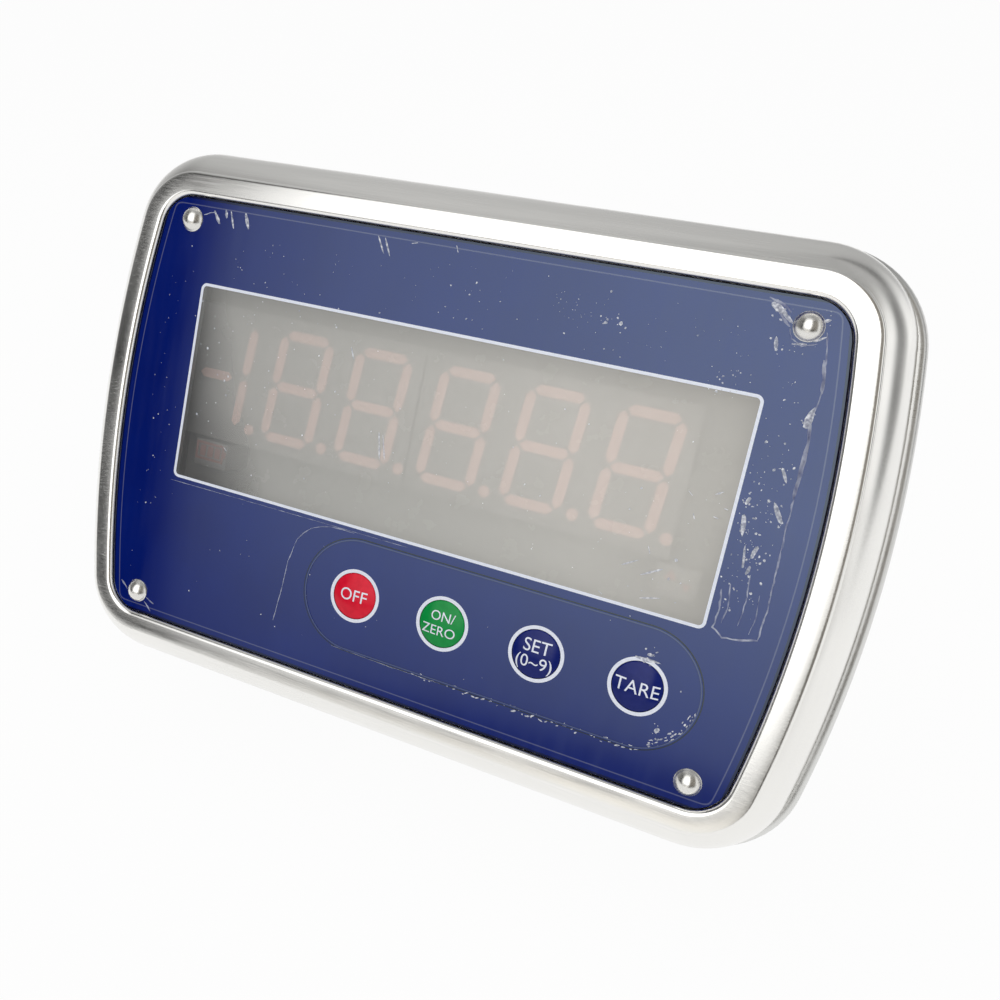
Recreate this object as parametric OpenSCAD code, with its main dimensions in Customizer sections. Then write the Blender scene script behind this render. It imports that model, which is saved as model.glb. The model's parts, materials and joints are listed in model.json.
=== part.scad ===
// Weighing indicator: a reclined stainless housing with a blue front panel, a numeric
// display behind a smoky window and four keys, held in a tilt bracket by two clamp knobs.
// The housing is drawn in its own frame: x to the right, y up the panel, z out of the panel,
// with 0 at the middle of the panel's face. in_place() then reclines it onto the bracket's
// pivot. The whole part stands on z = 0, with 0 at the middle of the base's bolt holes.

/* [Panel] */
// Width of the front panel at mid height
panel_w = 186.8; // [182:0.2:206]
// Height of the front panel
panel_h = 117.2; // [116:0.2:130]
// Radius of the bowed left and right sides
side_bow_r = 300; // [250:5:500]
// Radius of the panel's corners
panel_corner_r = 9.2; // [6:0.2:12]
// Thickness of the printed film on the panel
film_t = 0.3; // [0.2:0.05:0.5]
// Thickness of the plate that carries the film
plate_t = 1.5; // [1:0.1:2.5]
// Distance of the panel screws from the panel's sides
screw_inset_x = 13.4; // [12:0.1:15]
// Distance of the panel screws from the panel's top and bottom
screw_inset_y = 5.95; // [5.5:0.05:6.5]
// Diameter of the panel screws' domed heads
dome_d = 6.5; // [5.5:0.1:8]
// Height of the panel screws' domed heads
dome_h = 2.1; // [1.2:0.1:3]

/* [Window] */
// Width of the window
window_w = 148.2; // [142:0.2:150]
// Height of the window
window_h = 53; // [50:0.5:54]
// Height of the window's middle above the panel's middle
window_up = 9.9; // [8:0.1:11]
// Distance of the window's middle to the right of the panel's middle
window_right = 0.6; // [0:0.1:1]
// Radius of the window's corners
window_corner_r = 1.4; // [1:0.2:6]
// Depth of the digits' faces behind the panel's face
digit_depth = 4.6; // [4:0.1:8]

/* [Display] */
// Distance from one digit to the next
digit_pitch = 23.1; // [20:0.1:23.5]
// Height of a digit
digit_h = 30.5; // [25:0.5:32]
// Height of a display module's case
module_h = 36.9; // [34:0.1:40]
// Thickness of a display module's case
module_t = 10; // [8:0.5:11]

/* [Keys] */
// Diameter of a key's coloured cap
key_d = 12.2; // [10:0.1:13]
// Distance from one key to the next
key_pitch = 25.2; // [22:0.1:25.5]
// Place of the first key's middle to the right of the panel's middle
key_first_x = -11.9; // [-14:0.1:-8]
// Distance of the keys' middles below the panel's middle
key_row_down = 34.4; // [32:0.1:35]
// Travel of a key
key_travel = 0.5; // [0.2:0.1:0.6]
// Height of a key's crown above the panel's face
key_crown_h = 0.9; // [0.5:0.1:1.5]

/* [Housing] */
// Thickness of the housing's sheet
shell_t = 1.2; // [1:0.1:1.5]
// Height of the bezel above the panel's face
bezel_rise = 1.2; // [0.6:0.1:2]
// Width of the bezel's flat ring outside the panel's edge
bezel_w = 6.65; // [6:0.05:9]
// Reach of the flank's rear edge outside the panel's edge
flank_out = 13.9; // [13:0.1:16]
// Depth of the flank's rear edge behind the panel's face
flank_depth = 9.2; // [9:0.1:12]
// Radius of the flank's bulge
flank_r = 15; // [12:0.5:30]
// Reach of the rear rim outside the panel's sides
rim_out_x = 16.4; // [16.2:0.1:20]
// Reach of the rear rim outside the panel's top and bottom
rim_out_y = 14; // [14:0.1:17]
// Depth of the rear rim's turned edge
rim_turn_h = 4; // [3:0.1:6]
// Width of the rear box
box_w = 186; // [182:0.5:188]
// Height of the rear box
box_h = 122; // [118:0.5:123]
// Radius of the rear box's upright corners
box_corner_r = 14; // [10:0.5:20]
// Radius of the rear box's back edges
box_edge_r = 5; // [3:0.5:7]
// Depth of the rear box's back behind the panel's face
box_depth = 62; // [60:0.5:70]

/* [Bracket] */
// Angle by which the panel leans back from upright
recline = 33.5; // [20:0.5:60]
// Height of the pivot above the base
pivot_h = 82; // [82:0.5:110]
// Depth of the pivot behind the panel's face
pivot_depth = 38; // [36:0.5:40]
// Thickness of the bracket's sheet
bracket_t = 2.5; // [2:0.1:3]
// Width of the bracket's arms at the pivot
arm_w = 36; // [30:0.5:37]
// Depth of the bracket's base from front to back
base_d = 70; // [60:0.5:90]
// Distance between the base's bolt holes from side to side
bolt_span_x = 150; // [120:0.5:160]
// Distance between the base's bolt holes from front to back
bolt_span_y = 46; // [40:0.5:50]
// Diameter of the base's bolt holes
bolt_hole_d = 5.5; // [4.5:0.1:7]
// Diameter of the pivot studs
stud_d = 8; // [6:0.1:8]
// Diameter of the clamp knobs
knob_d = 26; // [24:0.5:28]
// Length of the clamp knobs
knob_l = 13.5; // [11:0.5:14]

/* [Glands] */
// Distance of each gland from the rear box's side
gland_side = 27; // [25:0.5:33]
// Height of the glands above the housing's middle
gland_y = 30; // [26:0.5:34]
// Diameter of the gland's thread
gland_thread_d = 16; // [14:0.1:16]
// Diameter of the cable hole in the gland's seal
gland_hole_d = 6.4; // [4:0.1:7]

/* [Hidden] */
$fn = 64;

// Shared clearances and the overrun of every cut
overrun = 1;
seat_gap = 0.3;
slip_gap = 0.15;
pivot_play = 0.05;
half_turn = 180;
quarter_turn = 90;

// Colours
steel = [0.78, 0.78, 0.76];
dark_steel = [0.55, 0.56, 0.56];
film_blue = [0.02, 0.11, 0.42];
rubber_black = [0.08, 0.08, 0.09];
board_green = [0.05, 0.35, 0.18];
chip_black = [0.1, 0.1, 0.11];
smoke = [0.5, 0.5, 0.5, 0.6];
nylon_grey = [0.25, 0.26, 0.28];

// Depths of the layers under the panel's face
plate_z = -film_t - plate_t;
gasket_t = 0.6;
ledge_z = plate_z - gasket_t;
ledge_under_z = ledge_z - shell_t;
flank_z = -flank_depth;
shell_gasket_t = 0.6;
rim_z = flank_z - shell_gasket_t;
rim_under_z = rim_z - shell_t;
back_z = -box_depth;
gland_x = box_w / 2 - gland_side;
wall_z = back_z + shell_t;

// Outlines with bowed sides: [half width, half height, side radius, corner radius]
panel_bow = [panel_w / 2, panel_h / 2, side_bow_r, panel_corner_r];
rim_corner_more = 1;
rim_corner_r = panel_corner_r + flank_out + rim_corner_more;
rim_bow = [panel_w / 2 + rim_out_x, panel_h / 2 + rim_out_y, side_bow_r + rim_out_x, rim_corner_r];

function bow_side_x(b) = b[0] - b[2];
function bow_corner_y(b) = b[1] - b[3];
function bow_corner_x(b) = bow_side_x(b) + sqrt(pow(b[2] - b[3], 2) - pow(bow_corner_y(b), 2));
function bow_angle(b) = asin(bow_corner_y(b) / (b[2] - b[3]));
// x of the bowed side at height y, out by o
function bow_edge_x(b, o, y) = bow_side_x(b) + sqrt(pow(b[2] + o, 2) - pow(y, 2));
function arc(c, r, a0, a1, n) = [
    for (i = [0:n]) let (a = a0 + (a1 - a0) * i / n) c + r * [cos(a), sin(a)]
];

// Flat shape with bowed sides and round corners, out by o
module bow_outline(b, o = 0) {
    cx = bow_corner_x(b);
    cy = bow_corner_y(b);
    reach = 2 * (b[3] + o) + overrun;
    out = reach * [cos(bow_angle(b)), sin(bow_angle(b))];
    square([2 * cx, 2 * (b[1] + o)], center = true);
    for (sx = [-1, 1]) {
        for (sy = [-1, 1]) translate([sx * cx, sy * cy]) circle(r = b[3] + o);
        intersection() {
            translate([sx * bow_side_x(b), 0]) circle(r = b[2] + o, $fn = 720);
            polygon([[0, -cy], [sx * cx, -cy], [sx * (cx + out.x), -cy - out.y],
                     [sx * (cx + out.x), cy + out.y], [sx * cx, cy], [0, cy]]);
        }
    }
}

// Stations round the outline's first quarter: [x, y, outward x, outward y]
side_steps = 6;
corner_steps = 10;
function bow_station(c, r, t) = [c.x + r * cos(t), c.y + r * sin(t), cos(t), sin(t)];
function bow_quarter(b) = concat(
    [for (i = [0:side_steps - 1])
        bow_station([bow_side_x(b), 0], b[2], bow_angle(b) * (i + 0.5) / side_steps)],
    [for (i = [0:corner_steps]) bow_station([bow_corner_x(b), bow_corner_y(b)], b[3],
        bow_angle(b) + (quarter_turn - bow_angle(b)) * i / corner_steps)]
);
function mirrored(q, mx, my) = [for (p = q) [mx * p[0], my * p[1], mx * p[2], my * p[3]]];
function backwards(q) = [for (i = [len(q) - 1:-1:0]) q[i]];
function bow_stations(b) = let (q = bow_quarter(b)) concat(
    q, backwards(mirrored(q, -1, 1)), mirrored(q, -1, -1), backwards(mirrored(q, 1, -1))
);

// Lofts a closed section round the outline: a section point is [distance out, z]
module bow_loft(b, section) {
    ring = bow_stations(b);
    n = len(ring);
    m = len(section);
    polyhedron(
        [for (p = ring) for (s = section) [p[0] + s.x * p[2], p[1] + s.x * p[3], s.y]],
        [for (i = [0:n - 1], j = [0:m - 1], half = [0, 1])
            let (i1 = (i + 1) % n, j1 = (j + 1) % m)
            half == 0 ? [i * m + j, i1 * m + j, i1 * m + j1] : [i * m + j, i1 * m + j1, i * m + j1]]
    );
}

// Rectangle with round corners
module rounded_rect(w, h, r) {
    square([w - 2 * r, h], center = true);
    square([w, h - 2 * r], center = true);
    for (sx = [-1, 1], sy = [-1, 1]) translate([sx * (w / 2 - r), sy * (h / 2 - r)]) circle(r = r);
}

// Sweeps a flat section round a rectangle with round corners
module rect_sweep(w, h, r) {
    for (mx = [0, 1], my = [0, 1]) mirror([mx, 0, 0]) mirror([0, my, 0])
        translate([w / 2 - r, h / 2 - r, 0])
            rotate_extrude(angle = quarter_turn) translate([r, 0]) children();
    for (my = [0, 1]) mirror([0, my, 0])
        rotate([quarter_turn, 0, quarter_turn])
            linear_extrude(w - 2 * r, center = true) translate([h / 2, 0]) children();
    for (mx = [0, 1]) mirror([mx, 0, 0])
        rotate([quarter_turn, 0, 0])
            linear_extrude(h - 2 * r, center = true) translate([w / 2, 0]) children();
}

// Slab of a flat shape from z0 to z1
module slab(z0, z1) {
    translate([0, 0, z0]) linear_extrude(z1 - z0) children();
}

// Round rod or hole from z0 to z1
module rod(r, z0, z1) {
    translate([0, 0, z0]) cylinder(r = r, h = z1 - z0);
}

// Hexagon across flats
module hex(af) {
    circle(d = af / cos(half_turn / 6), $fn = 6);
}

// Box from one corner to the other
module block(p, q) {
    translate(p) cube(q - p);
}

// The housing's frame set onto the bracket's pivot
arm_front_y = -base_d / 2;
pivot_y = arm_front_y + arm_w / 2;
module in_place() {
    translate([0, pivot_y, pivot_h]) rotate([quarter_turn - recline, 0, 0])
        translate([0, 0, pivot_depth]) children();
}

// Four copies mirrored about both axes of the panel
module four_fold() {
    for (mx = [0, 1], my = [0, 1]) mirror([mx, 0, 0]) mirror([0, my, 0]) children();
}

// Tilt bracket: a bent strip, flat at the base, with an arm up each side
washer_t = 1.2;
arm_in_x = box_w / 2 + washer_t + seat_gap;
arm_out_x = arm_in_x + bracket_t;
bend_r = 2 * bracket_t;
arm_foot_h = 12;
arm_hole_r = stud_d / 2 + pivot_play;
arm_back = [base_d / 2, arm_foot_h];
arm_top = [pivot_y, pivot_h];
arm_lean = arm_back - arm_top;
arm_tangent_a = atan2(arm_lean.y, arm_lean.x) + acos(arm_w / 2 / norm(arm_lean));

module arm_profile() {
    translate(arm_top) circle(d = arm_w);
    polygon([
        [arm_front_y, 0], [base_d / 2, 0], arm_back,
        arm_top + arm_w / 2 * [cos(arm_tangent_a), sin(arm_tangent_a)],
        arm_top, [arm_front_y, pivot_h]
    ]);
}

// Flat cup: open at the top, with round lower corners
module cup(half_w, z0, z1, r) {
    translate([-half_w, z0 + r]) square([2 * half_w, z1 - z0 - r]);
    translate([-half_w + r, z0]) square([2 * (half_w - r), r]);
    for (sx = [-1, 1]) translate([sx * (half_w - r), z0 + r]) circle(r = r);
}

module bracket_section() {
    top_z = pivot_h + arm_w;
    difference() {
        cup(arm_out_x, 0, top_z, bend_r);
        cup(arm_in_x, bracket_t, top_z + overrun, bend_r - bracket_t);
    }
}

module tilt_bracket() {
    color(steel) difference() {
        intersection() {
            rotate([quarter_turn, 0, 0]) linear_extrude(base_d, center = true) bracket_section();
            rotate([quarter_turn, 0, quarter_turn])
                linear_extrude(2 * arm_out_x + overrun, center = true) arm_profile();
        }
        translate([0, pivot_y, pivot_h]) rotate([0, quarter_turn, 0])
            cylinder(r = arm_hole_r, h = 2 * arm_out_x + overrun, center = true);
        four_fold() translate([bolt_span_x / 2, bolt_span_y / 2, 0])
            rod(bolt_hole_d / 2, -overrun, bracket_t + overrun);
    }
}

// Things on the pivot: drawn along x from the middle, at the pivot
module on_pivot(side) {
    translate([0, pivot_y, pivot_h]) mirror([side < 0 ? 1 : 0, 0, 0]) rotate([0, quarter_turn, 0]) children();
}

// Clamp knobs: a five-lobed grip on a round foot, bored for the stud
knob_in_x = arm_out_x + seat_gap;
knob_foot_h = 2.5;
knob_foot_r = 8;
knob_lobe_r = 4.2;
knob_lobes = 5;
knob_wall = 2.5;
knob_bevel = 1.5;
knob_dish_r = 6;
knob_dish_h = 0.8;
knob_end_x = knob_in_x + knob_l;
stud_end_x = knob_end_x - knob_wall - knob_dish_h;

module knob() {
    grip_z = knob_in_x + knob_foot_h;
    lobe_at = knob_d / 2 - knob_lobe_r;
    difference() {
        union() {
            rod(knob_foot_r, knob_in_x, grip_z);
            intersection() {
                slab(grip_z, knob_end_x) {
                    circle(r = lobe_at);
                    for (i = [0:knob_lobes - 1]) rotate(i * 2 * half_turn / knob_lobes)
                        translate([lobe_at, 0]) circle(r = knob_lobe_r);
                }
                union() {
                    rod(knob_d / 2 + overrun, grip_z - overrun, knob_end_x - knob_bevel);
                    translate([0, 0, knob_end_x - knob_bevel])
                        cylinder(r1 = knob_d / 2, r2 = knob_d / 2 - knob_bevel, h = knob_bevel);
                }
            }
        }
        rod(arm_hole_r, knob_in_x - overrun, stud_end_x + seat_gap);
        rod(knob_dish_r, knob_end_x - knob_dish_h, knob_end_x + overrun);
    }
}
module knob_left() { color(rubber_black) on_pivot(-1) knob(); }
module knob_right() { color(rubber_black) on_pivot(1) knob(); }

// Pivot studs: headed inside the rear box, out through its side wall and the arm
stud_head_r = 7;
stud_head_t = 1.2;
stud_hole_r = stud_d / 2 + slip_gap;
module pivot_studs() {
    wall_x = box_w / 2 - shell_t;
    color(dark_steel) for (side = [-1, 1]) on_pivot(side) {
        rod(stud_head_r, wall_x - stud_head_t, wall_x);
        rod(stud_d / 2, wall_x - stud_head_t, stud_end_x);
    }
}

// Rubber washers between the rear box and the arms
washer_r = 11;
module pivot_washers() {
    color(rubber_black) for (side = [-1, 1]) on_pivot(side) difference() {
        rod(washer_r, box_w / 2, box_w / 2 + washer_t);
        rod(stud_hole_r, box_w / 2 - overrun, box_w / 2 + washer_t + overrun);
    }
}

// Front shell: lip, flat ring, valley, bulging flank and a returned flange, pressed in one
panel_gap = 0.35;
bezel_fall = 0.2;
bezel_edge_r = 1.3;
valley = [bezel_w, bezel_rise - bezel_fall - bezel_edge_r];
flank_end = [flank_out, flank_z];
flank_chord = flank_end - valley;
flank_mid = (valley + flank_end) / 2;
flank_rise = sqrt(pow(flank_r, 2) - pow(norm(flank_chord) / 2, 2));
flank_c = flank_mid + flank_rise / norm(flank_chord) * [flank_chord.y, -flank_chord.x];
flank_a0 = atan2(valley.y - flank_c.y, valley.x - flank_c.x);
flank_a1 = atan2(flank_end.y - flank_c.y, flank_end.x - flank_c.x);
flank_in_r = flank_r - shell_t;
flank_in_a1 = asin((flank_z + shell_t - flank_c.y) / flank_in_r);
return_w = 9;
arc_steps = 9;
small_arc_steps = 4;

lip_x = panel_gap + shell_t;
bezel_edge_c = [bezel_w - bezel_edge_r, valley.y];
return_x = flank_out - return_w;
front_section = concat(
    [[lip_x, ledge_under_z], [panel_gap, ledge_under_z]],
    arc([lip_x, bezel_rise - shell_t], shell_t, half_turn, quarter_turn, small_arc_steps),
    arc(bezel_edge_c, bezel_edge_r, quarter_turn, 0, small_arc_steps),
    arc(flank_c, flank_r, flank_a0, flank_a1, arc_steps),
    [[return_x, flank_z], [return_x, flank_z + shell_t]],
    arc(flank_c, flank_in_r, flank_in_a1, flank_a0, small_arc_steps),
    [[bezel_w - shell_t, valley.y], [lip_x, bezel_rise - shell_t]]
);

// The ledge that the panel lies on, open behind the window and the keys
ledge_side_w = 9.4;
ledge_past_screw = 4.95;
ledge_open_w = panel_w - 2 * ledge_side_w;
ledge_open_h = panel_h - 2 * (screw_inset_y + ledge_past_screw);
ledge_open_r = 6;
screw_r = 2;
screw_hole_r = screw_r + seat_gap;
screw_x = panel_w / 2 - screw_inset_x;
screw_y = panel_h / 2 - screw_inset_y;

// Places of the screws through the rear rim: [x, y]
rim_screw_in = 6.4;
rim_screw_side_y = 38;
rim_screw_top_x = 42;
rim_screw_spots = [
    [bow_edge_x(panel_bow, flank_out - rim_screw_in, rim_screw_side_y), rim_screw_side_y],
    [rim_screw_top_x, panel_h / 2 + flank_out - rim_screw_in]
];
rim_screw_r = 1.5;
rim_screw_hole_r = rim_screw_r + slip_gap;
module at_rim_screws() {
    for (p = rim_screw_spots) four_fold() translate([p.x, p.y, 0]) children();
}

module front_shell() {
    color(steel) in_place() difference() {
        union() {
            bow_loft(panel_bow, front_section);
            slab(ledge_under_z, ledge_z) difference() {
                bow_outline(panel_bow, panel_gap + shell_t / 2);
                rounded_rect(ledge_open_w, ledge_open_h, ledge_open_r);
            }
        }
        four_fold() translate([screw_x, screw_y, 0])
            rod(screw_hole_r, ledge_under_z - overrun, ledge_z + overrun);
        at_rim_screws() rod(rim_screw_hole_r, flank_z - overrun, flank_z + shell_t + overrun);
    }
}

// Clinch nuts on the front shell's returned flange
clinch_r = 2.6;
clinch_h = 2;
module clinch_nuts() {
    color(dark_steel) in_place() at_rim_screws() difference() {
        rod(clinch_r, flank_z + shell_t, flank_z + shell_t + clinch_h);
        rod(rim_screw_hole_r, flank_z, flank_z + shell_t + clinch_h + overrun);
    }
}

// Rear shell: a drawn box with a wide rim whose edge turns back
module box_section() {
    c = [-box_edge_r, back_z + box_edge_r];
    polygon(concat(
        [[-shell_t, rim_z], [0, rim_z]],
        arc(c, box_edge_r, 0, -quarter_turn, small_arc_steps),
        arc(c, box_edge_r - shell_t, -quarter_turn, 0, small_arc_steps)
    ));
}
// Bent edge of the rim: [distance out, z]
rim_bend_r = 2;
rim_lap = 1;
rim_bend_c = [-rim_bend_r, rim_z - rim_bend_r];
rim_edge_section = concat(
    [[-rim_bend_r - 2 * rim_lap, rim_under_z], [-rim_bend_r - 2 * rim_lap, rim_z]],
    arc(rim_bend_c, rim_bend_r, quarter_turn, 0, small_arc_steps),
    [[0, rim_z - rim_turn_h], [-shell_t, rim_z - rim_turn_h]],
    arc(rim_bend_c, rim_bend_r - shell_t, 0, quarter_turn, small_arc_steps)
);
module rear_shell() {
    color(steel) in_place() difference() {
        union() {
            rect_sweep(box_w, box_h, box_corner_r) box_section();
            slab(back_z, wall_z)
                rounded_rect(box_w - 2 * box_edge_r, box_h - 2 * box_edge_r, box_corner_r - box_edge_r);
            bow_loft(rim_bow, rim_edge_section);
            slab(rim_under_z, rim_z) difference() {
                bow_outline(rim_bow, -(rim_bend_r + rim_lap));
                rounded_rect(box_w - shell_t, box_h - shell_t, box_corner_r - shell_t / 2);
            }
        }
        at_rim_screws() rod(rim_screw_hole_r, rim_under_z - overrun, rim_z + overrun);
        translate([0, 0, -pivot_depth]) rotate([0, quarter_turn, 0])
            cylinder(r = stud_hole_r, h = box_w + 2 * overrun, center = true);
        for (sx = [-1, 1]) translate([sx * gland_x, gland_y, 0])
            rod(gland_thread_d / 2 + slip_gap, back_z - overrun, wall_z + overrun);
    }
}

// Rubber gasket between the front shell and the rim
shell_gasket_w = 4;
shell_gasket_set = 0.3;
module shell_gasket() {
    color(rubber_black) in_place() slab(rim_z, flank_z) difference() {
        bow_outline(panel_bow, flank_out - shell_gasket_set);
        bow_outline(panel_bow, flank_out - shell_gasket_set - shell_gasket_w);
    }
}

// Pan-head screws through the rim into the clinch nuts
rim_head_r = 2.6;
rim_head_h = 1.8;
rim_screw_end = 1;
rim_screw_l = rim_head_h + shell_t + shell_gasket_t + shell_t + clinch_h + rim_screw_end;
module shell_screws() {
    color(dark_steel) in_place() at_rim_screws() {
        rod(rim_head_r, rim_under_z - rim_head_h, rim_under_z);
        rod(rim_screw_r, rim_under_z - rim_head_h, rim_under_z - rim_head_h + rim_screw_l);
    }
}

// Panel: printed film, carrier plate, gasket and window
key_r = key_d / 2;
key_gap = 0.2;
key_flange_w = 0.9;
key_flange_t = 0.6;
key_count = 4;
key_hole_r = key_r + key_gap;
plate_key_hole_r = key_r + key_flange_w + seat_gap;
film_gap = 0.1;
lens_gap = 0.1;
lens_flange_w = 2.4;
lens_flange_t = 1.4;

module at_keys() {
    for (i = [0:key_count - 1]) at_key(i) children();
}
module at_key(i) {
    translate([key_first_x + i * key_pitch, -key_row_down, 0]) children();
}
module window_shape(grow = 0) {
    translate([window_right, window_up])
        rounded_rect(window_w + 2 * grow, window_h + 2 * grow, window_corner_r + grow);
}
module panel_shape(inset, key_hole) {
    difference() {
        bow_outline(panel_bow, -inset);
        window_shape();
        at_keys() circle(r = key_hole);
        four_fold() translate([screw_x, screw_y]) circle(r = screw_hole_r);
    }
}
// Ridge pressed up in the film round the row of keys
ridge_h = 30;
ridge_w = 0.5;
ridge_rise = 0.12;
module stadium(r) {
    run = (key_count - 1) * key_pitch;
    translate([key_first_x, -key_row_down]) {
        translate([0, -r]) square([run, 2 * r]);
        for (i = [0, 1]) translate([i * run, 0]) circle(r = r);
    }
}
module overlay() {
    color(film_blue) in_place() {
        slab(-film_t, 0) panel_shape(0, key_hole_r);
        slab(-film_t / 2, ridge_rise) difference() {
            stadium(ridge_h / 2);
            stadium(ridge_h / 2 - ridge_w);
        }
    }
}
module panel_plate() {
    color(dark_steel) in_place() slab(plate_z, -film_t) panel_shape(film_gap, plate_key_hole_r);
}
module panel_gasket() {
    color(rubber_black) in_place() slab(ledge_z, plate_z) difference() {
        bow_outline(panel_bow, -film_gap);
        rounded_rect(ledge_open_w, ledge_open_h, ledge_open_r);
        four_fold() translate([screw_x, screw_y]) circle(r = screw_hole_r);
    }
}
module window_lens() {
    color(smoke) in_place() {
        slab(plate_z, 0) window_shape(-lens_gap);
        slab(plate_z - lens_flange_t, plate_z) window_shape(lens_flange_w);
    }
}

// Dome-headed panel screws and the nuts under the ledge
panel_nut_af = 7;
panel_nut_h = 3.2;
panel_screw_end = 1;
dome_sphere_r = (pow(dome_d / 2, 2) + pow(dome_h, 2)) / (2 * dome_h);
module panel_screws() {
    color(steel) in_place() four_fold() translate([screw_x, screw_y, 0]) {
        intersection() {
            rod(dome_d / 2, 0, dome_h + overrun);
            translate([0, 0, dome_h - dome_sphere_r]) sphere(r = dome_sphere_r);
        }
        rod(screw_r - slip_gap, ledge_under_z - panel_nut_h - panel_screw_end, dome_h / 4);
    }
}
module panel_nuts() {
    color(dark_steel) in_place() four_fold() translate([screw_x, screw_y, 0])
        slab(ledge_under_z - panel_nut_h, ledge_under_z) difference() {
            hex(panel_nut_af);
            circle(r = screw_r);
        }
}

// Keys: a crowned cap held by its flange under the film, with a stem to its switch
key_stem_r = 2;
key_plunger_r = 1.6;
board_t = 1.6;
key_board_z = -12.6;
switch_w = 6;
switch_h = 3.6;
switch_bore_h = 1.4;
switch_top_z = key_board_z + board_t + switch_h;
key_flange_z = -film_t - slip_gap - key_flange_t;
module key(i) {
    crown_r = (pow(key_r, 2) + pow(key_crown_h, 2)) / (2 * key_crown_h);
    in_place() at_key(i) {
        intersection() {
            rod(key_r, key_flange_z, key_crown_h);
            translate([0, 0, key_crown_h - crown_r]) sphere(r = crown_r, $fn = 360);
        }
        rod(key_r + key_flange_w, key_flange_z, key_flange_z + key_flange_t);
        rod(key_stem_r, switch_top_z + key_travel + slip_gap, key_flange_z);
        rod(key_plunger_r, switch_top_z - switch_bore_h + key_travel + slip_gap, key_flange_z);
    }
}
module key_red() { color([0.8, 0.05, 0.15]) key(0); }
module key_green() { color([0, 0.5, 0.2]) key(1); }
module key_blue_left() { color([0.1, 0.15, 0.5]) key(2); }
module key_blue_right() { color([0.1, 0.15, 0.5]) key(3); }

// Key board on four spacers, with a switch under each key
key_board_margin = 13;
key_board_h = 20;
key_board_hole_in = 3.5;
key_board_x0 = key_first_x - key_board_margin;
key_board_x1 = key_first_x + (key_count - 1) * key_pitch + key_board_margin;
spacer_r = 2.2;
spacer_bore_r = 1.5;
spacer_end = 1;
board_screw_r = 1.35;
board_screw_in = 4;
board_head_r = 2.6;
board_head_h = 1.8;

module at_key_board_holes() {
    for (x = [key_board_x0 + key_board_hole_in, key_board_x1 - key_board_hole_in], sy = [-1, 1])
        translate([x, -key_row_down + sy * (key_board_h / 2 - key_board_hole_in), 0]) children();
}
module key_board() {
    color(board_green) in_place() difference() {
        block([key_board_x0, -key_row_down - key_board_h / 2, key_board_z],
              [key_board_x1, -key_row_down + key_board_h / 2, key_board_z + board_t]);
        at_key_board_holes() rod(spacer_bore_r, key_board_z - overrun, key_board_z + board_t + overrun);
    }
}
module key_switches() {
    color(chip_black) in_place() at_keys() difference() {
        block([-switch_w / 2, -switch_w / 2, key_board_z + board_t],
              [switch_w / 2, switch_w / 2, switch_top_z]);
        rod(key_plunger_r + slip_gap, switch_top_z - switch_bore_h, switch_top_z + overrun);
    }
}
module spacer(z0, z1) {
    difference() {
        slab(z0, z1) hex(2 * spacer_r);
        rod(spacer_bore_r, z0 - overrun, z1 - spacer_end);
    }
}
module board_screw(z) {
    rod(board_head_r, z - board_head_h, z);
    rod(board_screw_r, z - board_head_h, z + board_t + board_screw_in);
}
module key_board_spacers() {
    color(steel) in_place() at_key_board_holes() spacer(key_board_z + board_t, plate_z);
}
module key_board_screws() { color(steel) in_place() at_key_board_holes() board_screw(key_board_z); }

// Display: two modules of three digits on a board behind the window
module_gap = 0.3;
module_margin = 0.9;
module_w = 3 * digit_pitch + module_margin;
row_x = -7.1;
row_up = 4;
row_y = window_up + row_up;
module_z = -digit_depth - module_t;
digit_slant = 4;
segment_w = 2.6;
segment_groove = 0.2;
digit_w_share = 0.5;
dot_r = 1.6;

// A module of three digits, whose segments and points are shallow grooves in its face
module led_module(centre_x, first_is_half) {
    digit_w = digit_h * digit_w_share;
    in_place() translate([centre_x, row_y, 0]) difference() {
        block([-module_w / 2, -module_h / 2, module_z], [module_w / 2, module_h / 2, -digit_depth]);
        translate([0, 0, -digit_depth - segment_groove]) linear_extrude(segment_groove + overrun)
            for (i = [-1, 0, 1]) translate([i * digit_pitch, 0]) {
                if (i < 0 && first_is_half) {
                    translate([-digit_pitch / 4, 0]) square([digit_w / 2, segment_w], center = true);
                    for (sy = [-1, 1])
                        translate([digit_w / 4 + sy * tan(digit_slant) * digit_h / 4, sy * digit_h / 4])
                            square([segment_w, digit_h / 2 - segment_w], center = true);
                } else {
                    for (k = [-1, 0, 1]) translate([k * tan(digit_slant) * (digit_h - segment_w) / 2,
                                                    k * (digit_h - segment_w) / 2])
                        square([digit_w - 2 * segment_w, segment_w], center = true);
                    for (sx = [-1, 1], sy = [-1, 1])
                        translate([sx * (digit_w - segment_w) / 2 + sy * tan(digit_slant) * digit_h / 4,
                                   sy * (digit_h - segment_w) / 4])
                            square([segment_w, digit_h / 2 - 2 * segment_w], center = true);
                }
                translate([digit_pitch / 2 - dot_r, -digit_h / 2 + dot_r]) circle(r = dot_r);
            }
    }
}
module_step = module_w + module_gap;
module led_module_left() { color([0.62, 0.6, 0.58]) led_module(row_x - module_step / 2, true); }
module led_module_right() { color([0.62, 0.6, 0.58]) led_module(row_x + module_step / 2, false); }

// Small lamps for the battery and state symbols, below the digits at both ends
lamp_w = 9;
lamp_h = 5;
lamp_edge = 3.4;
lamp_up = 6.2;
lamp_x = window_w / 2 - lamp_edge - lamp_w / 2;
lamp_y = window_up - window_h / 2 + lamp_up;
module indicator_lamps() {
    color([0.7, 0.66, 0.64]) in_place() for (sx = [-1, 1]) translate([sx * lamp_x, lamp_y, 0])
        block([-lamp_w / 2, -lamp_h / 2, module_z], [lamp_w / 2, lamp_h / 2, -digit_depth]);
}

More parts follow.
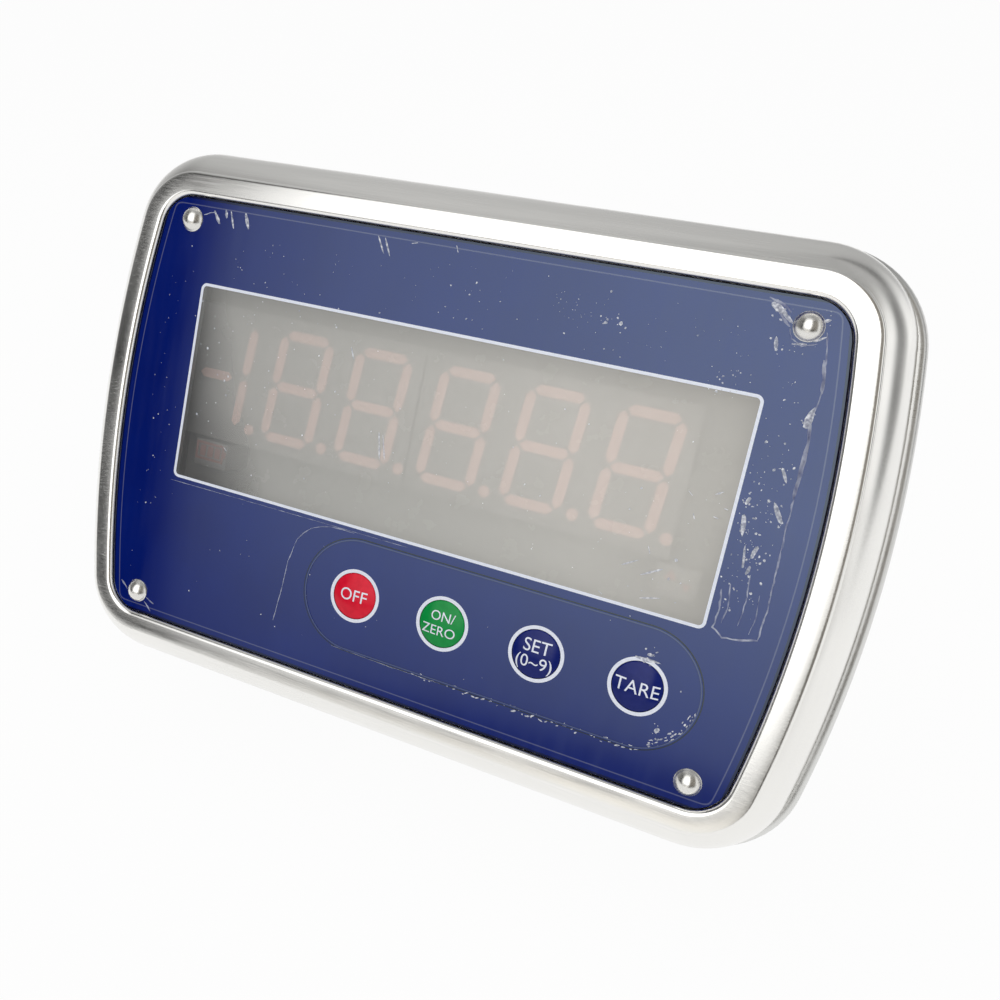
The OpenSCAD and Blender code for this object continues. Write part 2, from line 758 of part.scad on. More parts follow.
// Board behind the modules, carried by the panel's plate above and below the window
display_board_z = module_z - board_t;
display_wall_gap = 9.8;
display_spacer_in = 16;
display_edge = 3.5;
display_spacer_gap = 0.6;
display_half_w = box_w / 2 - shell_t - display_wall_gap;
display_spacer_x = window_w / 2 - display_spacer_in;
display_lens_h = window_h / 2 + lens_flange_w + display_spacer_gap + spacer_r;
display_spacer_y = [window_up - display_lens_h, window_up + display_lens_h];
module at_display_holes() {
    for (sx = [-1, 1], y = display_spacer_y) translate([sx * display_spacer_x, y, 0]) children();
}
module display_board() {
    color(board_green) in_place() difference() {
        block([-display_half_w, display_spacer_y[0] - display_edge, display_board_z],
              [display_half_w, display_spacer_y[1] + display_edge, module_z]);
        at_display_holes() rod(spacer_bore_r, display_board_z - overrun, module_z + overrun);
    }
}
module display_board_spacers() { color(steel) in_place() at_display_holes() spacer(module_z, plate_z); }
module display_board_screws() { color(steel) in_place() at_display_holes() board_screw(display_board_z); }

// Driver chips on the back of the display board
chip_t = 2.2;
driver_size = [18, 10];
driver_count = 3;
driver_step = 34;
driver_y = 6;
module display_chips() {
    color(chip_black) in_place() for (i = [0:driver_count - 1])
        translate([(i - (driver_count - 1) / 2) * driver_step, driver_y, display_board_z - chip_t / 2])
            cube([driver_size.x, driver_size.y, chip_t], center = true);
}

// Main board on the rear wall, between the battery and the transformer
main_board_side = 49.8;
main_board_under = 14;
main_board_over = 42;
main_board_size = [box_w - 2 * (shell_t + main_board_side), box_h - main_board_under - main_board_over];
main_board_y = (main_board_under - main_board_over) / 2;
main_spacer_h = 6;
main_spacer_r = 3;
main_hole_in = 4.5;
main_board_z = wall_z + main_spacer_h;
main_face_z = main_board_z + board_t;
module on_main_board(x, y) {
    translate([x, main_board_y + y, main_face_z]) children();
}
module at_main_holes() {
    hole_x = main_board_size.x / 2 - main_hole_in;
    hole_y = main_board_size.y / 2 - main_hole_in;
    translate([0, main_board_y, 0]) four_fold() translate([hole_x, hole_y, 0]) children();
}
module main_board() {
    color(board_green) in_place() difference() {
        translate([0, main_board_y, main_board_z + board_t / 2])
            cube([main_board_size.x, main_board_size.y, board_t], center = true);
        at_main_holes() rod(spacer_bore_r, main_board_z - overrun, main_face_z + overrun);
    }
}
module main_board_spacers() {
    color(steel) in_place() at_main_holes() difference() {
        rod(main_spacer_r, wall_z, main_board_z);
        rod(spacer_bore_r, wall_z + spacer_end, main_board_z + overrun);
    }
}
module main_board_screws() {
    color(steel) in_place() at_main_holes() {
        rod(board_head_r, main_face_z, main_face_z + board_head_h);
        rod(board_screw_r, main_board_z - board_screw_in, main_face_z + board_head_h);
    }
}
// Chips as shares of the main board: [x, y, length, width]
chip_shares = [
    [-0.21, 0.12, 0.17, 0.21], [0.1, 0.09, 0.14, 0.12],
    [-0.33, -0.21, 0.12, 0.09], [-0.05, -0.24, 0.24, 0.12]
];
module main_board_chips() {
    color(chip_black) in_place() for (c = chip_shares)
        on_main_board(c[0] * main_board_size.x, c[1] * main_board_size.y) translate([0, 0, chip_t / 2])
            cube([c[2] * main_board_size.x, c[3] * main_board_size.y, chip_t], center = true);
}
// Terminal blocks in a row between the screws along the board's lower edge
terminal_count = 3;
terminal_gap = 2.4;
terminal_d = 8;
terminal_h = 9;
terminal_run = main_board_size.x - 2 * (main_hole_in + board_head_r) - terminal_gap;
terminal_step = terminal_run / terminal_count;
module main_board_connectors() {
    color([0.1, 0.4, 0.25]) in_place() for (i = [0:terminal_count - 1])
        on_main_board((i - (terminal_count - 1) / 2) * terminal_step, (terminal_d - main_board_size.y) / 2)
            translate([0, 0, terminal_h / 2])
                cube([terminal_step - terminal_gap, terminal_d, terminal_h], center = true);
}
// Pressed can over the load cell converter, as shares of the main board: [x, y, length, width]
can_shares = [0.32, -0.13, 0.28, 0.3];
can_h = 7;
can_t = 0.5;
module shield_can() {
    can_l = can_shares[2] * main_board_size.x;
    can_w = can_shares[3] * main_board_size.y;
    can_x = can_shares[0] * main_board_size.x;
    can_y = can_shares[1] * main_board_size.y;
    color(steel) in_place() on_main_board(can_x, can_y) difference() {
        translate([0, 0, can_h / 2]) cube([can_l, can_w, can_h], center = true);
        translate([0, 0, can_h / 2 - can_t])
            cube([can_l - 2 * can_t, can_w - 2 * can_t, can_h], center = true);
    }
}

// Ribbon cable in one fold between the two boards, with a plug at each end
ribbon_w = 19;
ribbon_t = 0.9;
ribbon_plug_size = [22, 6, 6];
ribbon_x = 8;
ribbon_plug_edge = 7;
ribbon_wall_gap = 9.8;
ribbon_main_y = main_board_y + main_board_size.y / 2 - ribbon_plug_edge;
ribbon_display_y = 26;
ribbon_fold_y = box_h / 2 - shell_t - ribbon_wall_gap;
ribbon_main_plug_z = main_face_z + ribbon_plug_size.z;
ribbon_display_plug_z = display_board_z - ribbon_plug_size.z;
module ribbon_plugs() {
    color(chip_black) in_place() {
        translate([ribbon_x, ribbon_main_y, main_face_z + ribbon_plug_size.z / 2])
            cube(ribbon_plug_size, center = true);
        translate([ribbon_x, ribbon_display_y, display_board_z - ribbon_plug_size.z / 2])
            cube(ribbon_plug_size, center = true);
    }
}
module ribbon_cable() {
    y0 = ribbon_main_y;
    y1 = ribbon_display_y;
    z0 = ribbon_main_plug_z;
    z1 = ribbon_display_plug_z - ribbon_t;
    half_plug = ribbon_plug_size.y / 2;
    color([0.6, 0.6, 0.62]) in_place() translate([ribbon_x, 0, 0])
        rotate([quarter_turn, 0, quarter_turn]) linear_extrude(ribbon_w, center = true) {
            translate([y0 - half_plug, z0]) square([ribbon_fold_y - y0 + half_plug, ribbon_t]);
            translate([y1 - half_plug, z1]) square([ribbon_fold_y - y1 + half_plug, ribbon_t]);
            translate([ribbon_fold_y - ribbon_t, z0]) square([ribbon_t, z1 - z0 + ribbon_t]);
        }
}

// Battery pack of two cells under a strap, on the rear wall
cell_d = 18.4;
cell_l = 66;
cells = 2;
battery_wrap_t = 0.6;
battery_w = cells * cell_d + 2 * battery_wrap_t;
battery_h = cell_d + 2 * battery_wrap_t;
strap_t = 1;
strap_foot_gap = 0.3;
battery_wall_gap = box_edge_r - shell_t + seat_gap;
gland_nut_af = 22;
gland_nut_reach = gland_nut_af / 2 / cos(half_turn / 6);
battery_x = battery_wall_gap + battery_w / 2 + strap_t + strap_foot_gap + shell_t - box_w / 2;
battery_y = (shell_t - box_h / 2 + gland_y - gland_nut_reach) / 2;
module battery_shape() {
    rounded_rect(battery_w, battery_h, battery_h / 2 - slip_gap);
}
module battery_pack() {
    color([0.15, 0.35, 0.6]) in_place() translate([battery_x, battery_y, wall_z + battery_h / 2])
        rotate([quarter_turn, 0, 0]) linear_extrude(cell_l, center = true) battery_shape();
}
strap_w = 14;
strap_foot = 6;
strap_step = 36;
strap_spots_y = [-strap_step / 2, strap_step / 2];
module strap_section() {
    out_w = battery_w + 2 * (strap_t + strap_foot_gap);
    out_h = battery_h + strap_t + strap_foot_gap;
    difference() {
        union() {
            translate([-out_w / 2, 0]) square([out_w, out_h]);
            translate([-out_w / 2, 0]) square([out_w + strap_foot, strap_t]);
        }
        translate([-out_w / 2 + strap_t, -overrun]) square([out_w - 2 * strap_t, out_h - strap_t + overrun]);
    }
}
strap_screw_x = battery_w / 2 + strap_t + strap_foot_gap + strap_foot / 2;
module at_strap_screws() {
    for (y = strap_spots_y) translate([battery_x + strap_screw_x, battery_y + y, 0]) children();
}
module battery_strap() {
    color(steel) in_place() difference() {
        for (y = strap_spots_y) translate([battery_x, battery_y + y, wall_z])
            rotate([quarter_turn, 0, 0]) linear_extrude(strap_w, center = true) strap_section();
        at_strap_screws() rod(spacer_bore_r, wall_z - overrun, wall_z + strap_t + overrun);
    }
}
module battery_strap_screws() {
    color(steel) in_place() at_strap_screws() {
        rod(board_head_r, wall_z + strap_t, wall_z + strap_t + board_head_h);
        rod(board_screw_r, wall_z, wall_z + strap_t + board_head_h);
    }
}

// Transformer: a laminated core with feet round a wound coil
core_size = [36, 30, 14];
core_wall_gap = 7.8;
core_low_gap = 15;
core_up = 9;
foot_t = 1.2;
foot_reach = 7;
coil_l = 30;
limb_w = 6;
core_foot_at = core_size.y / 2 + foot_reach / 2 - foot_t;
core_x = box_w / 2 - shell_t - core_wall_gap - core_size.x / 2;
core_y = shell_t - box_h / 2 + core_low_gap + core_foot_at + foot_reach / 2;
module transformer_core() {
    z0 = wall_z + foot_t;
    core_top_z = z0 + core_up + core_size.z;
    color(dark_steel) in_place() translate([core_x, core_y, 0]) difference() {
        union() {
            translate([-core_size.x / 2, -core_size.y / 2, z0 + core_up]) cube(core_size);
            for (sx = [-1, 1]) translate([sx * (core_size.x - foot_t) / 2, 0, (wall_z + core_top_z) / 2])
                cube([foot_t, core_size.y, core_top_z - wall_z], center = true);
            for (sy = [-1, 1]) translate([0, sy * core_foot_at, wall_z + foot_t / 2])
                cube([core_size.x, foot_reach, foot_t], center = true);
        }
        translate([limb_w - core_size.x / 2, limb_w - core_size.y / 2, z0 + core_up - overrun])
            cube(core_size + [-2 * limb_w, -2 * limb_w, 2 * overrun]);
        at_transformer_feet() rod(spacer_bore_r, wall_z - overrun, wall_z + foot_t + overrun);
    }
}
module at_transformer_feet() {
    for (sy = [-1, 1]) translate([0, sy * core_foot_at, 0]) children();
}
module transformer_coil() {
    z0 = wall_z + foot_t + core_up + core_size.z / 2;
    w = core_size.x - 2 * limb_w - 2 * seat_gap;
    h = core_size.y - 2 * limb_w - 2 * seat_gap;
    color([0.55, 0.3, 0.12]) in_place() translate([core_x, core_y, z0])
        linear_extrude(coil_l, center = true) rounded_rect(w, h, limb_w / 2);
}
module transformer_screws() {
    color(steel) in_place() translate([core_x, core_y, 0]) at_transformer_feet() {
        rod(board_head_r, wall_z + foot_t, wall_z + foot_t + board_head_h);
        rod(board_screw_r, wall_z, wall_z + foot_t + board_head_h);
    }
}

// Cable glands through the rear wall: drawn with z running back out of the wall
gland_washer_t = 1.2;
gland_hex = 20;
gland_hex_h = 5;
gland_neck_h = 8;
gland_bore_r = 5;
gland_inside_l = 9;
gland_nut_h = 4;
gland_cap_h = 11;
gland_dome_edge_r = 3;
gland_cap_hex_h = 7;
gland_cap_gap = 0.6;
gland_seal_out = 1.5;
gland_r = gland_thread_d / 2;
gland_face_z = -back_z;
gland_hex_z = gland_face_z + gland_washer_t;
gland_neck_z = gland_hex_z + gland_hex_h;
gland_neck_end_z = gland_neck_z + gland_neck_h;
gland_cap_z = gland_neck_z + gland_cap_gap;
gland_cap_end_z = gland_cap_z + gland_cap_h;
gland_cap_hex_z = gland_cap_z + gland_cap_hex_h;
gland_dome_r = gland_hex / 2 - slip_gap;
gland_seal_z0 = gland_neck_z;
gland_seal_z1 = gland_neck_end_z + gland_seal_out;

module at_glands() {
    in_place() for (sx = [-1, 1]) translate([sx * gland_x, gland_y, 0]) mirror([0, 0, 1]) children();
}
module gland_bodies() {
    color(nylon_grey) at_glands() difference() {
        union() {
            rod(gland_r, gland_face_z - shell_t - gland_inside_l, gland_neck_end_z);
            slab(gland_hex_z, gland_neck_z) hex(gland_hex);
        }
        rod(gland_bore_r, gland_face_z - shell_t - gland_inside_l - overrun, gland_neck_end_z + overrun);
    }
}
module gland_washers() {
    color(rubber_black) at_glands() difference() {
        rod(gland_hex / 2, gland_face_z, gland_hex_z);
        rod(gland_r + slip_gap, gland_face_z - overrun, gland_hex_z + overrun);
    }
}
module gland_seals() {
    color(rubber_black) at_glands() difference() {
        rod(gland_bore_r - pivot_play, gland_seal_z0, gland_seal_z1);
        rod(gland_hole_d / 2, gland_seal_z0 - overrun, gland_seal_z1 + overrun);
    }
}
module gland_dome() {
    edge_x = gland_dome_r - gland_dome_edge_r;
    edge_z = gland_cap_end_z - gland_dome_edge_r;
    translate([0, gland_cap_z]) square([gland_dome_r, edge_z - gland_cap_z]);
    translate([0, gland_cap_z]) square([edge_x, gland_cap_end_z - gland_cap_z]);
    intersection() {
        translate([edge_x, edge_z]) circle(r = gland_dome_edge_r);
        translate([edge_x, edge_z]) square(gland_dome_edge_r + overrun);
    }
}
module gland_caps() {
    mouth_r = gland_bore_r + slip_gap;
    color(nylon_grey) at_glands() difference() {
        union() {
            slab(gland_cap_z, gland_cap_hex_z) hex(gland_hex);
            rotate_extrude() gland_dome();
        }
        rod(gland_r + slip_gap, gland_cap_z - overrun, gland_neck_end_z + slip_gap);
        rod(mouth_r, gland_cap_z, gland_cap_end_z + overrun);
    }
}
module gland_lock_nuts() {
    nut_z = gland_face_z - shell_t;
    color(nylon_grey) at_glands() slab(nut_z - gland_nut_h, nut_z) difference() {
        hex(gland_nut_af);
        circle(r = gland_r + slip_gap);
    }
}

tilt_bracket();
knob_left();
knob_right();
pivot_studs();
pivot_washers();
front_shell();
clinch_nuts();
rear_shell();
shell_gasket();
shell_screws();
overlay();
panel_plate();
panel_gasket();
window_lens();
panel_screws();
panel_nuts();
key_red();
key_green();
key_blue_left();
key_blue_right();
key_board();
key_switches();
key_board_spacers();
key_board_screws();
led_module_left();
led_module_right();
indicator_lamps();
display_board();
display_chips();
display_board_spacers();
display_board_screws();
main_board();
main_board_chips();
main_board_connectors();
shield_can();
main_board_spacers();
main_board_screws();
ribbon_cable();
ribbon_plugs();
battery_pack();
battery_strap();
battery_strap_screws();
transformer_core();
transformer_coil();
transformer_screws();
gland_bodies();
gland_washers();
gland_seals();
gland_caps();
gland_lock_nuts();
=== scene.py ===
import json
import math
import random

import bmesh
import bpy
from mathutils import Matrix, Vector


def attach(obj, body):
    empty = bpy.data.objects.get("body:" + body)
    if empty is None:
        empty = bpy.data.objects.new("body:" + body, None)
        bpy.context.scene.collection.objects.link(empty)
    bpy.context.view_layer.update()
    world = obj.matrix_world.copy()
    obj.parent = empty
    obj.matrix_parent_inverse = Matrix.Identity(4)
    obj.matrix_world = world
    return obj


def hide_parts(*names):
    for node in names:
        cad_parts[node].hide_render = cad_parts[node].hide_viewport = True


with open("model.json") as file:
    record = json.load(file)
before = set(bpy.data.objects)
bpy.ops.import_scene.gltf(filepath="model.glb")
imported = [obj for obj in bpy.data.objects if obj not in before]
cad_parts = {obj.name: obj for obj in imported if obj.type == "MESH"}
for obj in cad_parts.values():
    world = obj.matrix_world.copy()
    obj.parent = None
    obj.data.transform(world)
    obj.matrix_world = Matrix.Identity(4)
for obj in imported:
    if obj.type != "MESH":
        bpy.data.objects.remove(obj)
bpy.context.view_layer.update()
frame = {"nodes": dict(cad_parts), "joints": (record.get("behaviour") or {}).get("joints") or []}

# The studio: a pale table top and a white room, with dark flags and a bright wall that the
# glossy panel and the steel reflect. Two large soft lamps hang above and to the right, and the
# camera stands where the photograph was taken from.
tilt = next(joint for joint in frame["joints"] if joint["name"] == "housing_tilt")
RECLINE = math.radians(33.5)
PANEL_TURN = math.pi / 2 - RECLINE
ROOM_LIGHT = 0.55
TABLE_WHITE = 0.95
TABLE_SIZE = 4
TABLE_DROP = 0.0002
LAMPS_AIM = Vector((0, -0.03, 0.08))


def add_node(tree, kind, sockets=None, **settings):
    """One shader node, with a value or a link for each socket named."""
    node = tree.nodes.new(kind)
    for name, value in settings.items():
        setattr(node, name, value)
    for name, value in (sockets or {}).items():
        if isinstance(value, bpy.types.NodeSocket):
            tree.links.new(value, node.inputs[name])
        else:
            node.inputs[name].default_value = value
    return node


def shade_number(tree, operation, *values):
    """One sum on the numbers or sockets given."""
    return add_node(tree, "ShaderNodeMath", dict(enumerate(values)), operation=operation).outputs[0]


def spread(tree, value, low, high, low_from=0.3, high_from=0.7):
    """A value spread over the range from low to high."""
    return add_node(tree, "ShaderNodeMapRange", {"Value": value, "From Min": low_from,
                    "From Max": high_from, "To Min": low, "To Max": high}).outputs["Result"]


def colour_steps(tree, value, steps):
    """A colour for each place along 0 to 1; a single number is a grey."""
    ramp = add_node(tree, "ShaderNodeValToRGB", {"Fac": value})
    marks = ramp.color_ramp.elements
    while len(marks) < len(steps):
        marks.new(0.5)
    for mark, (place, shade) in zip(marks, steps):
        mark.position = place
        mark.color = (*shade, 1) if isinstance(shade, tuple) else (shade, shade, shade, 1)
    return ramp.outputs["Color"]


def mix_colours(tree, share, below, above, blend="MIX"):
    """One colour laid over another by a share, or multiplied with it."""
    return add_node(tree, "ShaderNodeMix", {0: share, 6: below, 7: above},
                    data_type="RGBA", blend_type=blend).outputs[2]


def mix_shaders(tree, share, first, second):
    """Two shaders mixed by a share."""
    return add_node(tree, "ShaderNodeMixShader", {0: share, 1: first.outputs[0], 2: second.outputs[0]})


room = bpy.data.worlds.new("white_room")
bpy.context.scene.world = room
room.use_nodes = True
air = room.node_tree
air.nodes.clear()
ray = add_node(air, "ShaderNodeLightPath")
direction = add_node(air, "ShaderNodeTexCoord")
from_panel = add_node(air, "ShaderNodeMapping",
                      {"Vector": direction.outputs["Generated"], "Rotation": (-PANEL_TURN, 0, 0)})
sides = add_node(air, "ShaderNodeSeparateXYZ", {"Vector": from_panel.outputs["Vector"]})
angle = shade_number(air, "ARCTAN2", sides.outputs["X"], sides.outputs["Z"])
round_room = spread(air, angle, 0.0, 1.0, -math.pi, math.pi)
lift = shade_number(air, "ARCSINE", sides.outputs["Y"])
up_room = spread(air, lift, 0.0, 1.0, -math.pi / 2, math.pi / 2)
walls = colour_steps(air, round_room, [
    (0.0, 0.55), (0.08, 0.75), (0.20, 0.55), (0.27, 0.30), (0.31, 0.22), (0.345, 0.20), (0.360, 0.03),
    (0.388, 0.03), (0.394, 0.90), (0.415, 1.6), (0.48, 2.4), (0.53, 2.6), (0.545, (0.28, 0.26, 0.23)),
    (0.665, (0.28, 0.26, 0.23)), (0.680, 1.15), (0.715, 1.10), (0.740, 0.24), (0.770, 0.26),
    (0.800, 0.60), (0.815, 1.15), (0.87, 1.05), (0.91, 0.55), (1.0, 0.55)])
levels = colour_steps(air, up_room, [
    (0.24, (0.58, 0.56, 0.51)), (0.346, (0.40, 0.385, 0.36)), (0.354, 0.08), (0.366, 0.12),
    (0.376, 0.40), (0.41, 0.62), (0.47, 0.95), (0.60, 1.0), (0.72, 0.8)])
ceiling = colour_steps(air, round_room, [
    (0.0, 0.50), (0.33, 0.60), (0.44, 0.46), (0.60, 0.40), (0.75, 0.50), (0.79, 0.16), (0.82, 0.10),
    (0.85, 0.42), (0.90, 0.46), (1.0, 0.50)])
floor_glow = colour_steps(air, round_room, [
    (0.0, (0.62, 0.60, 0.56)), (0.12, (0.50, 0.49, 0.46)), (0.22, (0.24, 0.235, 0.22)),
    (0.27, (0.40, 0.39, 0.37)), (0.30, (0.98, 0.95, 0.88)), (0.45, (0.98, 0.95, 0.88)),
    (0.54, (0.52, 0.50, 0.46)), (0.63, (0.28, 0.26, 0.23)), (0.74, (0.46, 0.44, 0.40)),
    (0.85, (0.60, 0.58, 0.55)), (1.0, (0.62, 0.60, 0.56))])
high_up = colour_steps(air, up_room, [(0.70, 0.0), (0.82, 1.0)])
low_down = colour_steps(air, up_room, [(0.18, 1.0), (0.25, 0.0)])
shaded = mix_colours(air, 1.0, walls, levels, "MULTIPLY")
roofed = mix_colours(air, high_up, shaded, ceiling)
surround = mix_colours(air, low_down, roofed, floor_glow)
lit = add_node(air, "ShaderNodeBackground", {"Color": (1, 1, 1, 1), "Strength": ROOM_LIGHT})
mirrored = add_node(air, "ShaderNodeBackground", {"Color": surround, "Strength": 1.0})
white = add_node(air, "ShaderNodeBackground", {"Color": (1, 1, 1, 1), "Strength": 1.0})
seen = shade_number(air, "MAXIMUM", ray.outputs["Is Camera Ray"], ray.outputs["Is Transmission Ray"])
soft = mix_shaders(air, ray.outputs["Is Glossy Ray"], lit, mirrored)
either = mix_shaders(air, seen, soft, white)
add_node(air, "ShaderNodeOutputWorld", {"Surface": either.outputs[0]})

for lamp_name, place, size, watts in (("lamp_above", (-0.15, -0.10, 0.95), 0.8, 2.2),
                                      ("lamp_right", (0.75, -0.55, 0.75), 0.6, 1.6)):
    lamp = bpy.data.lights.new(lamp_name, "AREA")
    lamp.size = size
    lamp.energy = watts
    holder = bpy.data.objects.new(lamp_name, lamp)
    holder.location = place
    aim = LAMPS_AIM - holder.location
    holder.rotation_euler = aim.to_track_quat("-Z", "Y").to_euler()
    holder.visible_glossy = False
    bpy.context.scene.collection.objects.link(holder)

table_mesh = bmesh.new()
bmesh.ops.create_grid(table_mesh, x_segments=1, y_segments=1, size=TABLE_SIZE,
                      matrix=Matrix.Translation((0, 0, -TABLE_DROP)))
table_top = bpy.data.objects.new("table_top", bpy.data.meshes.new("table_top"))
table_mesh.to_mesh(table_top.data)
table_mesh.free()
bpy.context.scene.collection.objects.link(table_top)
table_paint = bpy.data.materials.new("table_paint")
table_paint.use_nodes = True
paint = table_paint.node_tree
paint.nodes.clear()
table_ray = add_node(paint, "ShaderNodeLightPath")
paper = add_node(paint, "ShaderNodeBsdfDiffuse", {"Color": (0.86, 0.86, 0.85, 1)})
bright_white = add_node(paint, "ShaderNodeEmission", {"Color": (1, 1, 1, 1), "Strength": 1.0})
shown = shade_number(paint, "MAXIMUM", table_ray.outputs["Is Camera Ray"],
                     table_ray.outputs["Is Glossy Ray"])
part_white = shade_number(paint, "MULTIPLY", shown, TABLE_WHITE)
mixed = mix_shaders(paint, part_white, paper, bright_white)
add_node(paint, "ShaderNodeOutputMaterial", {"Surface": mixed.outputs[0]})
table_top.data.materials.append(table_paint)

view = bpy.data.cameras.new("camera")
view.lens = 28.57
view.sensor_width = 36
view.clip_start = 0.005
camera = bpy.data.objects.new("camera", view)
camera.matrix_world = Matrix(((0.92554, -0.24416, 0.28941, 0.077015),
                              (0.37865, 0.59734, -0.70698, -0.184784),
                              (0, 0.76392, 0.64531, 0.227106),
                              (0, 0, 0, 1)))
bpy.context.scene.collection.objects.link(camera)
bpy.context.scene.camera = camera
bpy.context.scene.view_settings.view_transform = "Standard"

# Front shell: a bezel pressed from 1.2 mm stainless sheet. A narrow lip stands up round the
# panel, then come a flat ring, a crease and a bulging flank, and a flange turns in behind.
# The sides bow outwards, and the sheet is brushed along the panel's long side.
MM = 0.001
PIVOT_DEPTH = 38
HOUSING = (Matrix.Translation(tilt["pos_m"]) @ Matrix.Rotation(PANEL_TURN, 4, "X")
           @ Matrix.Translation((0, 0, PIVOT_DEPTH * MM)))
SHEET = 1.2


def object_place(tree, grain, turn=PANEL_TURN, centre=(0, 0, 0)):
    """Object coordinates in units of a grain, in millimetres, turned to lie along the piece."""
    sizes = grain if isinstance(grain, tuple) else (grain, grain, grain)
    where = add_node(tree, "ShaderNodeTexCoord")
    turned = add_node(tree, "ShaderNodeMapping", {
        "Vector": where.outputs["Object"], "Rotation": (turn, 0, 0), "Location": centre,
        "Scale": tuple(MM * size for size in sizes)}, vector_type="TEXTURE")
    return turned.outputs["Vector"]


def noise(tree, grain, detail, turn=PANEL_TURN):
    """Noise of that grain, in millimetres, fixed to the piece."""
    return add_node(tree, "ShaderNodeTexNoise", {"Vector": object_place(tree, grain, turn), "Scale": 1.0,
                                                 "Detail": detail}).outputs["Fac"]


def new_finish(name, **sockets):
    """A material with its one shader; what is the same all over is set on the shader's sockets."""
    finish = bpy.data.materials.new(name)
    finish.use_nodes = True
    shader = finish.node_tree.nodes["Principled BSDF"]
    for socket, value in sockets.items():
        shader.inputs[socket.replace("_", " ")].default_value = value
    return finish, finish.node_tree, shader


def raise_surface(tree, shader, height, depth_mm, strength):
    """A bump of that depth on the shader's normal."""
    bump = add_node(tree, "ShaderNodeBump", {"Height": height, "Strength": strength,
                                             "Distance": depth_mm * MM})
    tree.links.new(bump.outputs["Normal"], shader.inputs["Normal"])


def brushed_steel(name, tone, rough, grain, turn=PANEL_TURN):
    """Stainless sheet with fine brush lines along the longest side of its grain."""
    finish, tree, shader = new_finish(name, Metallic=1.0)
    lines = noise(tree, grain, 3.0, turn)
    clouds = noise(tree, 30, 2.0, turn)
    both = shade_number(tree, "ADD", lines, clouds)
    tree.links.new(spread(tree, both, rough - 0.06, rough + 0.09, 0.75, 1.25), shader.inputs["Roughness"])
    darker = tuple(0.90 * channel for channel in tone)
    tree.links.new(colour_steps(tree, lines, [(0.3, darker), (0.7, tone)]), shader.inputs["Base Color"])
    raise_surface(tree, shader, lines, 0.004, 0.6)
    return finish


def make_piece(bm, name, body, finish, place=HOUSING, stands_for=(), sharp=32):
    """A drawn mesh, in millimetres, is put in its place and made a piece that rides on a body."""
    bmesh.ops.transform(bm, matrix=place @ Matrix.Scale(MM, 4), verts=bm.verts[:])
    mesh = bpy.data.meshes.new(name)
    bm.to_mesh(mesh)
    bm.free()
    mesh.shade_smooth()
    mesh.set_sharp_from_angle(angle=math.radians(sharp))
    mesh.materials.append(finish)
    piece = bpy.data.objects.new(name, mesh)
    bpy.context.scene.collection.objects.link(piece)
    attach(piece, body)
    if stands_for:
        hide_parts(*stands_for)
    return piece


def verts_in(items):
    return [item for item in items if isinstance(item, bmesh.types.BMVert)]


def edges_in(items):
    return [item for item in items if isinstance(item, bmesh.types.BMEdge)]


def face_outwards(bm):
    bmesh.ops.recalc_face_normals(bm, faces=bm.faces[:])


def move(bm, verts, x, y=0, z=0):
    bmesh.ops.translate(bm, vec=(x, y, z), verts=verts)


def spin(bm, geom, centre, axis, angle, steps):
    """Sweeps what is drawn round a centre, and gives what lies at the end of the sweep."""
    return bmesh.ops.spin(bm, geom=geom, cent=centre, axis=axis, angle=angle, steps=steps)["geom_last"]


def draw_section(bm, at, strokes):
    """Draws on from a vertex in the plane of x and z. Two numbers are a straight stroke to that
    point. Four are an arc: its centre, its degrees from x towards z, and its steps."""
    for stroke in strokes:
        if len(stroke) == 2:
            made = bmesh.ops.extrude_vert_indiv(bm, verts=[at])["verts"]
            made[0].co = (stroke[0], 0, stroke[1])
        else:
            x, z, degrees, steps = stroke
            made = verts_in(spin(bm, [at], (x, 0, z), (0, -1, 0), math.radians(degrees), steps))
        at = made[0]
    return at


class Outline:
    """A panel outline with bowed sides, round corners and a straight top and bottom."""

    def __init__(self, half_w, half_h, side_r, corner_r):
        self.half_w = half_w
        self.half_h = half_h
        self.side_r = side_r
        self.side_x = half_w - side_r
        self.corner_y = half_h - corner_r
        self.corner_x = self.side_x + math.sqrt((side_r - corner_r) ** 2 - self.corner_y ** 2)
        self.bow = math.asin(self.corner_y / (side_r - corner_r))

    def sweep(self, bm, section, side_steps=14, corner_steps=16, top_steps=4):
        """Carries a section, drawn on the right side, round the whole outline."""
        ends = {vert for edge in section for vert in edge.verts}
        before = set(bm.verts) - ends
        last = spin(bm, list(ends) + list(section), (self.side_x, 0, 0), (0, 0, 1), self.bow, side_steps)
        last = spin(bm, last, (self.corner_x, self.corner_y, 0), (0, 0, 1), math.pi / 2 - self.bow,
                    corner_steps)
        for step in range(top_steps):
            last = bmesh.ops.extrude_edge_only(bm, edges=edges_in(last))["geom"]
            move(bm, verts_in(last), -self.corner_x / top_steps)
        for axis in ("Y", "X"):
            drawn = [vert for vert in bm.verts if vert not in before]
            kept = set(drawn)
            edges = [edge for edge in bm.edges if kept.issuperset(edge.verts)]
            faces = [face for face in bm.faces if kept.issuperset(face.verts)]
            bmesh.ops.mirror(bm, geom=drawn + edges + faces, merge_dist=0.0005, axis=axis)


panel = Outline(half_w=93.4, half_h=58.6, side_r=300, corner_r=9.2)


